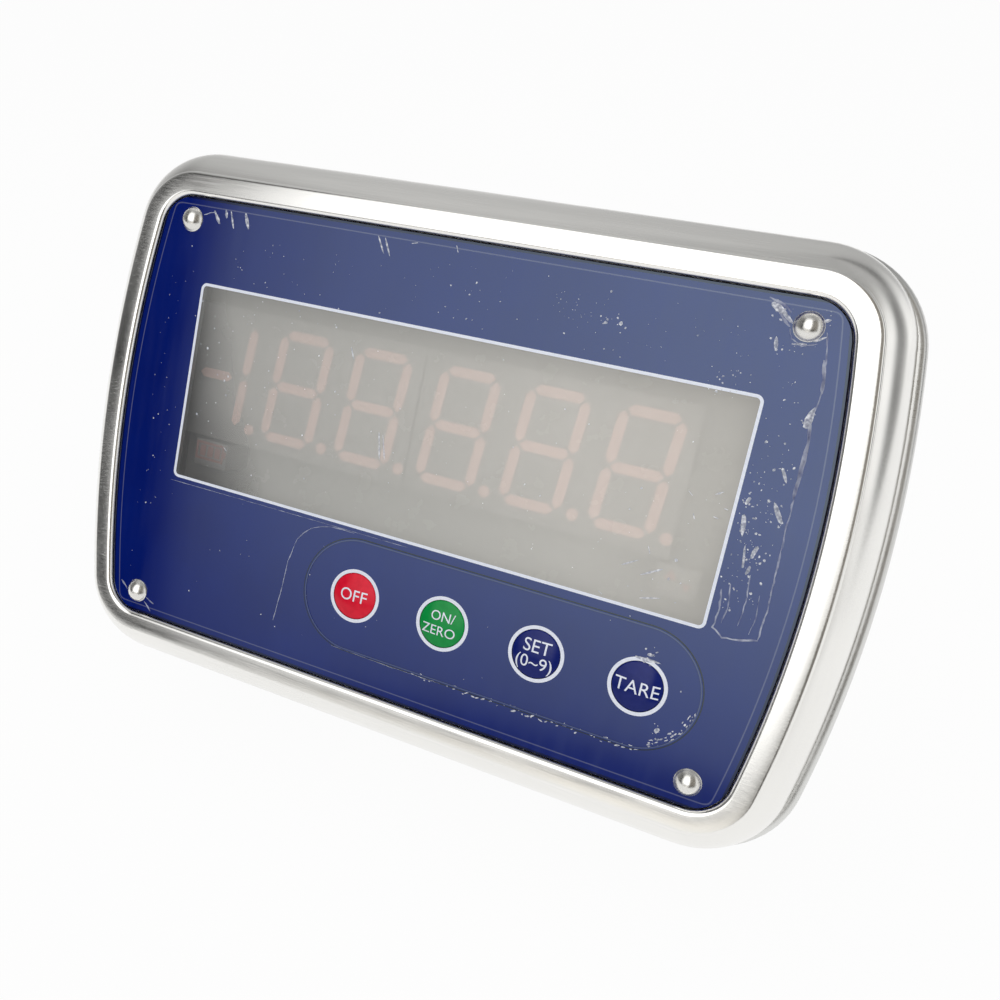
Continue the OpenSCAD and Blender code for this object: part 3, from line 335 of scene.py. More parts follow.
def front_shell_mesh():
    bm = bmesh.new()
    side = panel.half_w
    ledge_in = side - 8.6
    ledge_top, ledge_low = -2.4, -3.6
    lip = side + 0.35
    lip_foot_r = 0.3
    lip_out = lip + SHEET
    ring = side + 5.35
    ring_top, crease_z = 1.0, -0.3
    flank_reach, flank_low, flank_r = 13.9, -9.2, 15
    flank_end = side + flank_reach
    flange_in = side + 4.9
    start = bm.verts.new((ledge_in, 0, ledge_low))
    at = draw_section(bm, start, [
        (ledge_in, ledge_top), (lip - lip_foot_r, ledge_top),
        (lip - lip_foot_r, ledge_top + lip_foot_r, 90, 3), (lip, 0), (lip_out, 0, -90, 7),
        (ring, ring_top), (ring, crease_z, -84, 7)])
    crease_x = at.co.x - side
    chord = Vector((flank_reach - crease_x, flank_low - at.co.z))
    bulge = math.sqrt(flank_r ** 2 - (chord.length / 2) ** 2)
    middle = Vector((flank_reach + crease_x, flank_low + at.co.z)) / 2
    centre = middle + bulge / chord.length * Vector((chord.y, -chord.x))
    sweep = 2 * math.degrees(math.asin(chord.length / 2 / flank_r))
    at = draw_section(bm, at, [
        (side + centre.x, centre.y, -sweep, 16), (flank_end, flank_low), (flange_in, flank_low),
        (flange_in, flank_low + SHEET), (flank_end - 1.9, flank_low + SHEET),
        (side + centre.x, centre.y, 0.9 * sweep, 12), (ring + 0.1, crease_z), (lip_out, -0.2),
        (lip_out, ledge_low)])
    bm.edges.new((at, start))
    bmesh.ops.remove_doubles(bm, verts=bm.verts[:], dist=0.002)
    panel.sweep(bm, bm.edges[:])
    bmesh.ops.remove_doubles(bm, verts=bm.verts[:], dist=0.002)
    face_outwards(bm)
    return bm


bezel_steel = brushed_steel("bezel_steel", (0.92, 0.91, 0.88), 0.19, (14, 0.10, 0.10))
make_piece(front_shell_mesh(), "front_bezel", "housing", bezel_steel,
           stands_for=["front_shell"], sharp=40)

# Panel film: a navy film, printed from behind, on an aluminium plate, with a fine ridge round
# the row of keys. A clear protective film still lies over it and ends two millimetres inside
# the edge. The film's colour also carries painted shade along its outer edge by the steel lip,
# and painted shade and a painted highlight on the two sides of the ridge.
KEY_X = (-11.9, 13.3, 38.5, 63.7)
KEY_Y = -34.4
CORNER_SOFT = 3.0


def distance(tree, x, y):
    """How far a place is from a centre, by its two steps."""
    step = add_node(tree, "ShaderNodeCombineXYZ", {"X": x, "Y": y})
    return add_node(tree, "ShaderNodeVectorMath", {0: step.outputs[0]}, operation="LENGTH").outputs["Value"]


def line_mask(tree, gap, middle, half_width, soft):
    """One on a line at that distance, fading at its edges; otherwise nought."""
    off = shade_number(tree, "ABSOLUTE", shade_number(tree, "SUBTRACT", gap, middle))
    return spread(tree, off, 0.0, 1.0, half_width + soft, half_width)


def coat(node, finish):
    """A CAD node keeps its shape and gets a finish."""
    slots = frame["nodes"][node].data.materials
    slots.clear()
    slots.append(finish)


film_blue, tree, shader = new_finish("film_blue", IOR=1.62, Specular_Tint=(0.84, 1.0, 1.0, 1))
over_panel = object_place(tree, 1, centre=HOUSING.to_translation())
spot = add_node(tree, "ShaderNodeSeparateXYZ", {"Vector": over_panel})
from_side = shade_number(tree, "ADD", shade_number(tree, "ABSOLUTE", spot.outputs["X"]), -panel.side_x)
side_gap = shade_number(tree, "SUBTRACT", panel.side_r, distance(tree, from_side, spot.outputs["Y"]))
top_gap = shade_number(tree, "SUBTRACT", panel.half_h, shade_number(tree, "ABSOLUTE", spot.outputs["Y"]))
edge_gap = shade_number(tree, "SMOOTH_MIN", side_gap, top_gap, CORNER_SOFT)
from_middle = shade_number(tree, "SUBTRACT", spot.outputs["X"], (KEY_X[0] + KEY_X[-1]) / 2)
past_keys = shade_number(tree, "SUBTRACT", shade_number(tree, "ABSOLUTE", from_middle),
                         (KEY_X[-1] - KEY_X[0]) / 2)
ridge_gap = distance(tree, shade_number(tree, "MAXIMUM", past_keys, 0.0),
                     shade_number(tree, "ADD", spot.outputs["Y"], -KEY_Y))
cloud = noise(tree, 22, 3.0)
blue = colour_steps(tree, cloud, [(0.3, (0.0002, 0.0080, 0.145)), (0.7, (0.0006, 0.0110, 0.168))])
# Lines laid on the film's colour: a dark line along its outer edge, painted shade where the steel lip meets
# it; a light line two millimetres in, where the clear film ends; a dark line outside the ridge, painted
# shade; and a light line inside it, a painted highlight.
for gap, middle, half_width, soft, shade in (
        (edge_gap, 0.15, 0.35, 0.10, (0.0005, 0.002, 0.05)),
        (edge_gap, 2.05, 0.08, 0.12, (0.10, 0.11, 0.24)),
        (ridge_gap, 15.12, 0.11, 0.08, (0.0, 0.001, 0.015)),
        (ridge_gap, 14.62, 0.07, 0.08, (0.07, 0.09, 0.20))):
    blue = mix_colours(tree, line_mask(tree, gap, middle, half_width, soft), blue, (*shade, 1))
tree.links.new(blue, shader.inputs["Base Color"])
wipe = noise(tree, (3, 25, 25), 4.0)
tree.links.new(spread(tree, wipe, 0.04, 0.11), shader.inputs["Roughness"])
raise_surface(tree, shader, noise(tree, (60, 9, 9), 1.0), 0.03, 0.25)
coat("overlay", film_blue)

# Window and prints: the smoky window, with painted shade that darkens it towards its left end,
# and what is printed in white on the film round it and round the keys, thin enough to feel with a nail.
LENS_SPAN = 148
# The slant and the middle of the painted shade across the window.
SHADE_SLOPE = 0.3
SHADE_MIDDLE = 0.47
HAZE_SHARE = 0.12
PRINT_THICK = 0.04
STRAIGHT = 20000

smoky, tree, shader = new_finish("smoky_window", IOR=1.55, Alpha=0.40)
over_window = object_place(tree, LENS_SPAN, centre=HOUSING.to_translation())
along = add_node(tree, "ShaderNodeSeparateXYZ", {"Vector": over_window})
haze = shade_number(tree, "SUBTRACT", noise(tree, 40, 2.0), 0.5)
uneven = shade_number(tree, "MULTIPLY", haze, HAZE_SHARE)
leaning = shade_number(tree, "MULTIPLY", along.outputs["Y"], SHADE_SLOPE)
sloped = shade_number(tree, "ADD", along.outputs["X"], leaning)
painted_shade_and_haze = shade_number(tree, "ADD", shade_number(tree, "ADD", sloped, SHADE_MIDDLE), uneven)
# Painted shade: the window's colour runs from dark at its left end to light at its right, along a slant,
# with a random haze laid over it.
tree.links.new(colour_steps(tree, painted_shade_and_haze, [
    (0.0, (0.15, 0.15, 0.15)), (0.05, (0.33, 0.33, 0.32)), (0.13, (0.62, 0.615, 0.585)),
    (0.42, (0.73, 0.72, 0.68)), (0.75, (0.84, 0.82, 0.77)), (1.0, (0.82, 0.795, 0.74))]),
    shader.inputs["Base Color"])
tree.links.new(spread(tree, noise(tree, 6, 4.0), 0.16, 0.30), shader.inputs["Roughness"])
coat("window_lens", smoky)
frame["nodes"]["window_lens"].visible_shadow = False


def plain_finish(name, grain, low, high, rough, detail=3.0, bump=None, steps=(0.3, 0.7), alpha=1.0,
                 **sockets):
    """A finish whose colour varies with a fine grain. Two numbers for its roughness or alpha are
    a range, which varies too; a bump is its depth in millimetres and its strength."""
    finish, tree, shader = new_finish(name, **sockets)
    varied = noise(tree, grain, detail)
    tree.links.new(colour_steps(tree, varied, [(steps[0], low), (steps[1], high)]),
                   shader.inputs["Base Color"])
    for socket, value in (("Roughness", rough), ("Alpha", alpha)):
        if isinstance(value, tuple):
            tree.links.new(spread(tree, varied, *value), shader.inputs[socket])
        else:
            shader.inputs[socket].default_value = value
    if bump:
        raise_surface(tree, shader, varied, *bump)
    return finish


def turned_mesh(section, steps=64):
    """A turned part: a half section spun round z. One that starts off the axis is closed first."""
    bm = bmesh.new()
    first = bm.verts.new((section[0][0], 0, section[0][1]))
    last = draw_section(bm, first, section[1:])
    if section[0][0] > 0:
        bm.edges.new((last, first))
    bmesh.ops.spin(bm, geom=bm.verts[:] + bm.edges[:], cent=(0, 0, 0), axis=(0, 0, 1),
                   angle=2 * math.pi, steps=steps, use_merge=True)
    bmesh.ops.remove_doubles(bm, verts=bm.verts[:], dist=0.001)
    face_outwards(bm)
    return bm


white_print = plain_finish("white_print", 0.6, (0.80, 0.84, 0.96), (0.88, 0.91, 1.0), 0.35, detail=2.0)
WINDOW_X, WINDOW_Y, WINDOW_LINE = 0.6, 9.9, 0.75
window = Outline(half_w=74.1, half_h=26.5, side_r=STRAIGHT, corner_r=1.4)
bm = bmesh.new()
line_in = window.half_w - WINDOW_LINE / 2
line_out = window.half_w + WINDOW_LINE / 2
start = bm.verts.new((line_in, 0, 0))
at = draw_section(bm, start, [(line_out, 0), (line_out, PRINT_THICK), (line_in, PRINT_THICK)])
bm.edges.new((at, start))
window.sweep(bm, bm.edges[:], side_steps=2, corner_steps=8, top_steps=2)
move(bm, bm.verts[:], WINDOW_X, WINDOW_Y)
face_outwards(bm)
make_piece(bm, "window_line", "housing", white_print)

RING_IN, RING_OUT = 6.18, 7.08
for number, key_x in enumerate(KEY_X):
    bm = turned_mesh([(RING_IN, 0), (RING_OUT, 0), (RING_OUT, PRINT_THICK), (RING_IN, PRINT_THICK)], 72)
    move(bm, bm.verts[:], key_x, KEY_Y)
    make_piece(bm, f"key_ring_{number + 1}", "housing", white_print)

# Protective film: what the clear film shows where it was handled. Dust under it, short
# scratches, air bubbles beside the window, and the lines of its cut edges.
film_mark = plain_finish("film_mark", 0.7, (0.44, 0.47, 0.58), (0.88, 0.89, 0.94), 0.45,
                         steps=(0.35, 0.65), alpha=(0.5, 1.0))
line_mark = plain_finish("line_mark", 2, (0.16, 0.18, 0.34), (0.62, 0.65, 0.78), 0.4,
                         steps=(0.35, 0.65), alpha=0.7)
chance = random.Random(41)
MARK_Z = 0.05
STROKE_STEP = 1.2


def add_fleck(bm, x, y, length, width, turn):
    """A speck or bubble: a flat, slightly uneven patch."""
    fleck = bmesh.ops.create_circle(bm, cap_ends=True, segments=8, radius=0.5)["verts"]
    for vert in fleck:
        vert.co *= chance.uniform(0.75, 1.15)
    bmesh.ops.scale(bm, vec=(length, width, 1), verts=fleck)
    bmesh.ops.rotate(bm, verts=fleck, matrix=Matrix.Rotation(math.radians(turn), 3, "Z"))
    move(bm, fleck, x, y, MARK_Z)


def add_stroke(bm, points, width, ragged=0.0):
    """A thin flat line through the points, drawn by running an edge along them."""
    cuts = []
    for (x0, y0), (x1, y1) in zip(points, points[1:]):
        steps = max(1, round(math.hypot(x1 - x0, y1 - y0) / STROKE_STEP))
        cuts += [(x0 + (x1 - x0) * step / steps, y0 + (y1 - y0) * step / steps) for step in range(steps)]
    cuts.append(points[-1])
    edge = None
    for number, (x, y) in enumerate(cuts):
        ahead = cuts[min(number + 1, len(cuts) - 1)]
        behind = cuts[max(number - 1, 0)]
        way = Vector((ahead[0] - behind[0], ahead[1] - behind[1], 0)).normalized()
        half = width / 2 * (0.35 if number in (0, len(cuts) - 1) else chance.uniform(0.6, 1.3))
        off = Vector((-way.y, way.x, 0)) * half
        middle = Vector((x + chance.uniform(-ragged, ragged), y + chance.uniform(-ragged, ragged), MARK_Z))
        if edge is None:
            ends = [bm.verts.new(middle + off), bm.verts.new(middle - off)]
            edge = bm.edges.new(ends)
        else:
            edge = edges_in(bmesh.ops.extrude_edge_only(bm, edges=[edge])["geom"])[0]
            ends = sorted(edge.verts, key=lambda vert: (vert.co - ends[0].co).length)
            ends[0].co = middle + off
            ends[1].co = middle - off


def scatter(bm, count, left, low, right, high, small, large):
    """Dust specks over an oblong of the panel, a few of them larger than the rest."""
    for _ in range(count):
        size = small + (large - small) * chance.random() ** 3
        add_fleck(bm, chance.uniform(left, right), chance.uniform(low, high), size,
                  size * chance.uniform(0.6, 1.0), chance.uniform(0, 180))


specks = bmesh.new()
for count, left, low, right, high, small, large in (
        (90, -84, -50, 84, 54, 0.14, 0.55), (70, -20, 38, 80, 54, 0.14, 0.6),
        (26, 24, 44, 34, 51, 0.16, 0.5), (24, 62, 34, 72, 41, 0.2, 0.65),
        (34, -86, -30, -76, 40, 0.16, 0.6), (40, 75.5, 14, 84, 42, 0.2, 0.8),
        (90, 75.6, -12, 85, 15, 0.2, 0.8), (60, -72, -14, 70, 34, 0.16, 0.55),
        (50, -73, 0, -30, 35, 0.2, 0.8), (24, -66, 38, -30, 52, 0.16, 0.5),
        (16, 44, -14, 71, 14, 0.25, 0.9)):
    scatter(specks, count, left, low, right, high, small, large)
for x, y, length, width, turn in (
        (73, 55.4, 4.5, 1.5, -25), (75.4, 53.8, 3.4, 1, -38), (83.2, 54.4, 1.6, 0.9, 20),
        (82.8, 50.4, 2.8, 0.6, 32), (79.2, 48.8, 3.4, 0.5, 10), (84.9, 33.6, 5, 1.7, 82),
        (83, 21, 4.2, 0.8, 118), (83.9, 12.3, 5.4, 1.3, 120), (77.4, 8.4, 5.6, 1.3, 98),
        (77, 13.8, 2.2, 0.9, 70), (81.1, 3, 3.4, 1, 75), (79.3, 1.2, 5.4, 0.6, 98),
        (80.8, -1.2, 2.4, 0.8, 80), (74.4, 48, 2.8, 0.8, 100), (70.4, -43.2, 1.6, 1, 60),
        (64.2, -27.6, 6.4, 0.9, 2), (64.9, -26.2, 1.6, 0.9, 0), (40.6, 46.2, 1, 0.9, 0),
        (37.1, 45.8, 0.9, 0.7, 20)):
    add_fleck(specks, x, y, length, width, turn)
    scatter(specks, 5, x - 1.6, y - 2.2, x + 1.6, y + 2.2, 0.2, 0.7)
LOW_RUB = 62
for step in range(LOW_RUB):
    x = 8 + 60 * (step / (LOW_RUB - 1)) + chance.uniform(-0.8, 0.8)
    bend = 0.3 if x < KEY_X[-1] else 0.3 + (x - KEY_X[-1]) ** 2 / 36
    y = -49.6 + bend + chance.uniform(-0.9, 0.5)
    add_fleck(specks, x, y, chance.uniform(0.3, 1.5), chance.uniform(0.2, 0.5), chance.uniform(-20, 40))
CORNER_RUB = 46
for _ in range(CORNER_RUB):
    lean = math.radians(chance.uniform(-68, -8))
    out = 14.4 + chance.uniform(-1.6, 0.5)
    add_fleck(specks, KEY_X[-1] + out * math.cos(lean), KEY_Y + out * math.sin(lean),
              chance.uniform(0.25, 1.1), chance.uniform(0.2, 0.5), math.degrees(lean) + 90)
make_piece(specks, "film_specks", "housing", film_mark)

scratches = bmesh.new()
for start, end, width in (
        ((-73.4, 55.8), (-71.2, 52.6), 1), ((-68.2, 56.4), (-66.6, 52), 0.5),
        ((-63.6, 56.4), (-62, 52.6), 1.1), ((-69.8, 56.5), (-69.2, 54.4), 0.8),
        ((-24, 56.4), (-21.7, 52.4), 0.35), ((-22, 56.2), (-19.9, 52), 0.4),
        ((-14.6, 55.9), (-13, 56.3), 0.5), ((-2.8, 57.2), (-2.1, 55.6), 0.5),
        ((-25.9, 28.3), (-24.6, 25.4), 0.4), ((-13.8, 8.9), (-12.3, 2.1), 0.35),
        ((-12.6, 8.4), (-10.9, 2.4), 0.35), ((-58.9, -5.4), (-57.7, -6.3), 0.5),
        ((58.2, -8.6), (62.9, -5.9), 0.4), ((53.4, -7.5), (57.1, -5.3), 0.35),
        ((58.4, -1.6), (59.2, -3.2), 0.6), ((70.7, 8.6), (71.9, 8.4), 0.6),
        ((72.6, 10.9), (73.5, 10.8), 0.7), ((59.2, -13.9), (64, -12.6), 0.3),
        ((49.6, -14.9), (50.7, -15.5), 0.5), ((70, 13.5), (71.7, 14.5), 0.4),
        ((64.2, 12.9), (65.3, 12), 0.5), ((66.4, 8.2), (66.9, 7), 0.6)):
    add_stroke(scratches, [start, end], width)
make_piece(scratches, "film_scratches", "housing", film_mark)

film_edges = bmesh.new()
for points, width, ragged in (
        ([(-34.5, -47.9), (-33.5, -38.1), (-33.1, -30.6), (-31.5, -24.2), (-30, -22.1), (-28, -20.3),
          (-25, -19), (-22.3, -18.4), (-19.1, -18.2), (-15.4, -18.3)], 0.22, 0.05),
        ([(83.9, 52.1), (84.5, 49), (85.3, 44.8), (85.9, 40.6), (85.7, 37.2), (85.1, 34.4),
          (85.6, 31.7), (86.1, 28.5), (86.1, 24.6), (86, 20.6), (86.1, 16.1), (86.2, 10.4),
          (86.4, 3.5), (86.7, -2.3), (86.9, -8), (86.6, -15.8)], 0.34, 0.12),
        ([(84.6, 46.5), (85.6, 42.6), (86, 39.4)], 0.7, 0.1),
        ([(85.3, 33), (86, 28.5), (86, 22), (86, 16.5)], 0.8, 0.1),
        ([(76.4, -6.5), (77, -11), (76.6, -15.6), (79.2, -17.4), (82.4, -16.9), (86.6, -16)],
         0.4, 0.16),
        ([(78, -5), (78.8, -9.5), (78.2, -14.5)], 0.3, 0.2),
        ([(81.5, -2), (82.2, -8), (81.6, -14)], 0.3, 0.2),
        ([(84.6, -6), (85, -11), (84.4, -15)], 0.25, 0.15),
        ([(70.8, 57.3), (74, 56.3), (75.9, 55)], 0.5, 0.08),
        ([(72.9, 55.5), (74.2, 53.6), (76.2, 52)], 0.6, 0.1),
        ([(76.3, 51.6), (77.2, 49.6), (79.6, 48.4), (82.6, 49.4)], 0.3, 0.05),
        ([(-86.2, -51.1), (-84.4, -52.4), (-83.6, -53.2)], 0.5, 0.08),
        ([(-77.2, -55.2), (-75.6, -56.4), (-74.6, -57.4)], 0.45, 0.08),
        ([(-76.6, -53.9), (-75.2, -54.6), (-73.9, -55.1)], 0.4, 0.08),
        ([(-76.6, 54.2), (-74.8, 55), (-72.6, 55.4)], 0.35, 0.1),
        ([(-74.2, -18.2), (-40, -18), (0, -17.9)], 0.12, 0.02),
        ([(-16, -49.3), (0, -49.7), (16, -49.6)], 0.10, 0.04)):
    add_stroke(film_edges, points, width, ragged)
make_piece(film_edges, "film_cut_edges", "housing", line_mark)

# Display modules: two potted blocks of three digits, with milky light bars let into a grey
# face, and two small symbol lamps below them.
face_grey = plain_finish("display_face", 0.4, (0.33, 0.325, 0.31), (0.36, 0.355, 0.34), 0.5, detail=2.0)
bar_milk = plain_finish("light_bar", 0.8, (0.93, 0.60, 0.53), (0.98, 0.66, 0.58), 0.4, detail=2.0)
symbol_milk = plain_finish("symbol_bar", 0.8, (0.52, 0.24, 0.21), (0.58, 0.27, 0.24), 0.4, detail=2.0)
MODULE_SIZE = (70.2, 36.9, 10)
MODULE_PITCH = 70.5
DISPLAY_X, DISPLAY_Y, BLOCK_Z = -7.1, 13.9, -9.65
DIGIT_H, DIGIT_W, DIGIT_PITCH = 30.5, 16.4, 23.1
DIGIT_LEAN = math.tan(math.radians(4))
BAR_W, BAR_GAP, BAR_THICK, FACE_Z = 2.6, 1.0, 0.12, -4.6
DOT_R, DOT_X, DOT_UP = 1.5, 10.3, 1.6
SYMBOL_SIZE = (10.6, 7.4, 10)
SYMBOL_X, SYMBOL_Y = 66.2, -9.2


def add_block(bm, size, x, y):
    """A potted block behind the panel."""
    block = bmesh.ops.create_cube(bm, size=1)["verts"]
    bmesh.ops.scale(bm, vec=size, verts=block)
    move(bm, block, x, y, BLOCK_Z)


def round_edges(bm, edges, radius, segments=2):
    bmesh.ops.bevel(bm, geom=edges, offset=radius, offset_type="OFFSET", affect="EDGES",
                    segments=segments, profile=0.5, material=-1)


def add_bar(bm, x, y, length, upright):
    """One light bar with pointed ends, leaning with its digit."""
    bar = bmesh.ops.create_grid(bm, x_segments=1, y_segments=2, size=0.5)["verts"]
    for vert in bar:
        pointed = abs(vert.co.y) < 0.01
        vert.co.x = math.copysign(length / 2 - (0 if pointed else BAR_W / 2), vert.co.x)
        vert.co.y *= BAR_W
    if upright:
        bmesh.ops.rotate(bm, verts=bar, matrix=Matrix.Rotation(math.pi / 2, 3, "Z"))
    move(bm, bar, x, y)
    for vert in bar:
        vert.co.x += DIGIT_LEAN * vert.co.y
    return bar


def digit_bars(bm, x, y, half):
    """The bars of one digit about its centre; a half digit is a minus sign and a one."""
    bars = []
    if half:
        bars += add_bar(bm, -2.9, -0.8, 10.4, False)
        for side in (-1, 1):
            bars += add_bar(bm, 6.4, side * 7.0, 12.9, True)
    else:
        reach_y = (DIGIT_H - BAR_W) / 2
        reach_x = (DIGIT_W - BAR_W) / 2
        for level in (-1, 0, 1):
            bars += add_bar(bm, 0, level * reach_y, 2 * reach_x - BAR_GAP, False)
        for side in (-1, 1):
            for level in (-1, 1):
                bars += add_bar(bm, side * reach_x, level * reach_y / 2, reach_y - BAR_GAP, True)
    dot = bmesh.ops.create_circle(bm, cap_ends=True, segments=24, radius=DOT_R,
                                  matrix=Matrix.Translation((DOT_X, -DIGIT_H / 2 + DOT_UP, 0)))
    bars += dot["verts"]
    move(bm, bars, x, y)


def set_in_face(bm):
    """Flat bars get their thickness and stand on the face of their block."""
    bmesh.ops.solidify(bm, geom=bm.faces[:], thickness=BAR_THICK)
    move(bm, bm.verts[:], 0, 0, FACE_Z + BAR_THICK / 2)
    face_outwards(bm)


for side, name in ((-1, "left"), (1, "right")):
    centre_x = DISPLAY_X + side * MODULE_PITCH / 2
    bm = bmesh.new()
    add_block(bm, MODULE_SIZE, centre_x, DISPLAY_Y)
    round_edges(bm, bm.edges[:], 0.5)
    make_piece(bm, f"digit_block_{name}", "housing", face_grey,
               stands_for=[f"led_module_{name}"])
    bm = bmesh.new()
    for place in (-1, 0, 1):
        digit_bars(bm, centre_x + place * DIGIT_PITCH, DISPLAY_Y, side < 0 and place < 0)
    set_in_face(bm)
    make_piece(bm, f"light_bars_{name}", "housing", bar_milk)

bm = bmesh.new()
for side in (-1, 1):
    add_block(bm, SYMBOL_SIZE, side * SYMBOL_X, SYMBOL_Y)
round_edges(bm, bm.edges[:], 0.3)
make_piece(bm, "symbol_lamps", "housing", face_grey, stands_for=["indicator_lamps"])

bm = bmesh.new()
for x, y, width, height in ((-66.6, -6.4, 9.2, 0.7), (-66.6, -10.8, 9.2, 0.7), (-70.9, -8.6, 0.7, 3.8),
                            (-62.3, -8.6, 0.7, 3.8), (-61.6, -8.6, 0.6, 1.8), (-68.9, -8.6, 1.8, 3.0),
                            (-66.4, -8.6, 1.8, 3.0), (-64.0, -8.6, 1.8, 3.0)):
    bar = bmesh.ops.create_grid(bm, x_segments=1, y_segments=1, size=0.5)["verts"]
    bmesh.ops.scale(bm, vec=(width, height, 1), verts=bar)
    move(bm, bar, x, y)
for x, y, size, turn in ((64.6, -7.8, 3.4, 0), (68.6, -9.6, 2.6, 180)):
    wedge = bmesh.ops.create_circle(bm, cap_ends=True, segments=3, radius=size / 2)["verts"]
    bmesh.ops.rotate(bm, verts=wedge, matrix=Matrix.Rotation(math.radians(turn), 3, "Z"))
    move(bm, wedge, x, y)
set_in_face(bm)
make_piece(bm, "symbol_bars", "housing", symbol_milk)

# Keys: moulded caps with a low crown, each held by its flange under the film, with a stem
# down to its switch. The function words are printed in white on the crowns.
CAP_R, CROWN_H, CROWN_END = 6.1, 0.9, 5.75
CROWN_R = (CAP_R ** 2 + CROWN_H ** 2) / (2 * CROWN_H)
CROWN_Z = CROWN_H - CROWN_R
CROWN_EDGE_Z = CROWN_Z + math.sqrt(CROWN_R ** 2 - CROWN_END ** 2)
FLANGE_R, FLANGE_TOP, FLANGE_LOW = 7.0, -0.45, -1.05
STEM_R, STEM_LOW, PIN_R, PIN_LOW = 2.0, -6.75, 1.6, -8.15
KEY_SECTION = [(0, CROWN_H), (0, CROWN_Z, -math.degrees(math.asin(CROWN_END / CROWN_R)), 14),
               (5.7, CROWN_EDGE_Z - 0.38, -78, 5), (CAP_R, FLANGE_TOP), (FLANGE_R, FLANGE_TOP),
               (FLANGE_R, FLANGE_LOW), (STEM_R, FLANGE_LOW), (STEM_R, STEM_LOW), (PIN_R, STEM_LOW),
               (PIN_R, PIN_LOW), (0, PIN_LOW)]
INK_RISE = 0.035
CUT_STEP = 0.65


def all_of(bm):
    return bm.verts[:] + bm.edges[:] + bm.faces[:]


def cut_across(bm, geom, axis, off):
    """A straight cut through what is given, with nothing taken away."""
    bmesh.ops.bisect_plane(bm, geom=geom, dist=0.0005, plane_co=tuple(off * way for way in axis),
                           plane_no=axis)


def legend_mesh(lines):
    """Plain lettering, made a mesh, cut finely and laid on the crown."""
    bm = bmesh.new()
    for words, size, right, up in lines:
        text = bpy.data.curves.new("legend", "FONT")
        text.body = words
        text.size = size
        text.align_x = "CENTER"
        text.align_y = "CENTER"
        holder = bpy.data.objects.new("legend", text)
        bpy.context.scene.collection.objects.link(holder)
        drawn = bpy.data.meshes.new_from_object(holder)
        drawn.transform(Matrix.Translation((right, up, 0)))
        bm.from_mesh(drawn)
        bpy.data.meshes.remove(drawn)
        bpy.data.objects.remove(holder)
    for axis in ((1, 0, 0), (0, 1, 0)):
        for cut in range(-8, 9):
            cut_across(bm, all_of(bm), axis, CUT_STEP * cut)
    for vert in bm.verts:
        around = vert.co.x ** 2 + vert.co.y ** 2
        vert.co.z = math.sqrt(CROWN_R ** 2 - around) + CROWN_Z + INK_RISE
    return bm


for (node, tone, slot, lines), key_x in zip((
        ("key_red", (0.72, 0.006, 0.030), "red_key", [("OFF", 4.5, 0, 0.1)]),
        ("key_green", (0.001, 0.27, 0.050), "green_key",
         [("ON/", 3.5, 0.1, 1.9), ("ZERO", 3.6, -0.4, -1.9)]),
        ("key_blue_left", (0.003, 0.011, 0.14), "blue_key",
         [("SET", 4.6, 0.1, 1.9), ("(0~9)", 4.4, 0, -2.2)]),
        ("key_blue_right", (0.003, 0.011, 0.14), "blue_key", [("TARE", 4.6, 0, -0.3)])), KEY_X):
    on_film = HOUSING @ Matrix.Translation((key_x * MM, KEY_Y * MM, 0))
    lighter = tuple(min(1.0, 1.12 * channel + 0.004) for channel in tone)
    key_plastic = plain_finish(f"{node}_plastic", 1.5, tone, lighter, 0.14, detail=2.0, bump=(0.01, 0.3),
                               Specular_IOR_Level=0.2)
    make_piece(turned_mesh(KEY_SECTION), f"{node}_cap", node, key_plastic, place=on_film,
               stands_for=[node])
    make_piece(legend_mesh(lines), f"{node}_legend", node, white_print, place=on_film)

# Panel screws: four polished stainless screws with domed heads. They go through the film, the
# plate and the front shell's ledge into nuts behind it.
polished = plain_finish("polished_steel", 0.5, (0.72, 0.71, 0.68), (0.80, 0.79, 0.76), (0.20, 0.30),
                        Metallic=1.0)
HEAD_R, HEAD_H, DOME_END = 3.25, 2.1, 3.15
DOME_R = (HEAD_R ** 2 + HEAD_H ** 2) / (2 * HEAD_H)
SHANK_R, SHANK_END = 1.85, -7.8
DOME_SECTION = [(0, HEAD_H), (0, HEAD_H - DOME_R, -math.degrees(math.asin(DOME_END / DOME_R)), 12),
                (HEAD_R, 0.12), (HEAD_R, 0), (SHANK_R, 0), (SHANK_R, SHANK_END + 0.3),
                (SHANK_R - 0.3, SHANK_END), (0, SHANK_END)]
SCREWS_X, SCREWS_Y = 80, 52.65


def gather(parts):
    """Several drawn meshes put together as one."""
    whole = bmesh.new()
    for part in parts:
        loose = bpy.data.meshes.new("loose_part")
        part.to_mesh(loose)
        part.free()
        whole.from_mesh(loose)
        bpy.data.meshes.remove(loose)
    return whole


domes = []
for x in (-SCREWS_X, SCREWS_X):
    for y in (-SCREWS_Y, SCREWS_Y):
        dome = turned_mesh(DOME_SECTION, 48)
        move(dome, dome.verts[:], x, y)
        domes.append(dome)
make_piece(gather(domes), "dome_screws", "housing", polished, stands_for=["panel_screws"])

# Rear shell: a deep box drawn from the same sheet, with a rim that follows the bezel and turns
# back at its edge.
rim = Outline(half_w=109.8, half_h=72.6, side_r=316.4, corner_r=24.1)
box = Outline(half_w=93, half_h=61, side_r=STRAIGHT, corner_r=14)
RIM_TOP, RIM_LOW, RIM_ROUND = -9.8, -13.8, 2.0
BOX_BEND, BOX_FOOT, BOX_ROUND = -12.5, -57, 5


def open_edges(edges, low, high):
    """The edges of an open rim that lie between two heights."""
    return [edge for edge in edges
            if edge.is_boundary and all(low < vert.co.z < high for vert in edge.verts)]


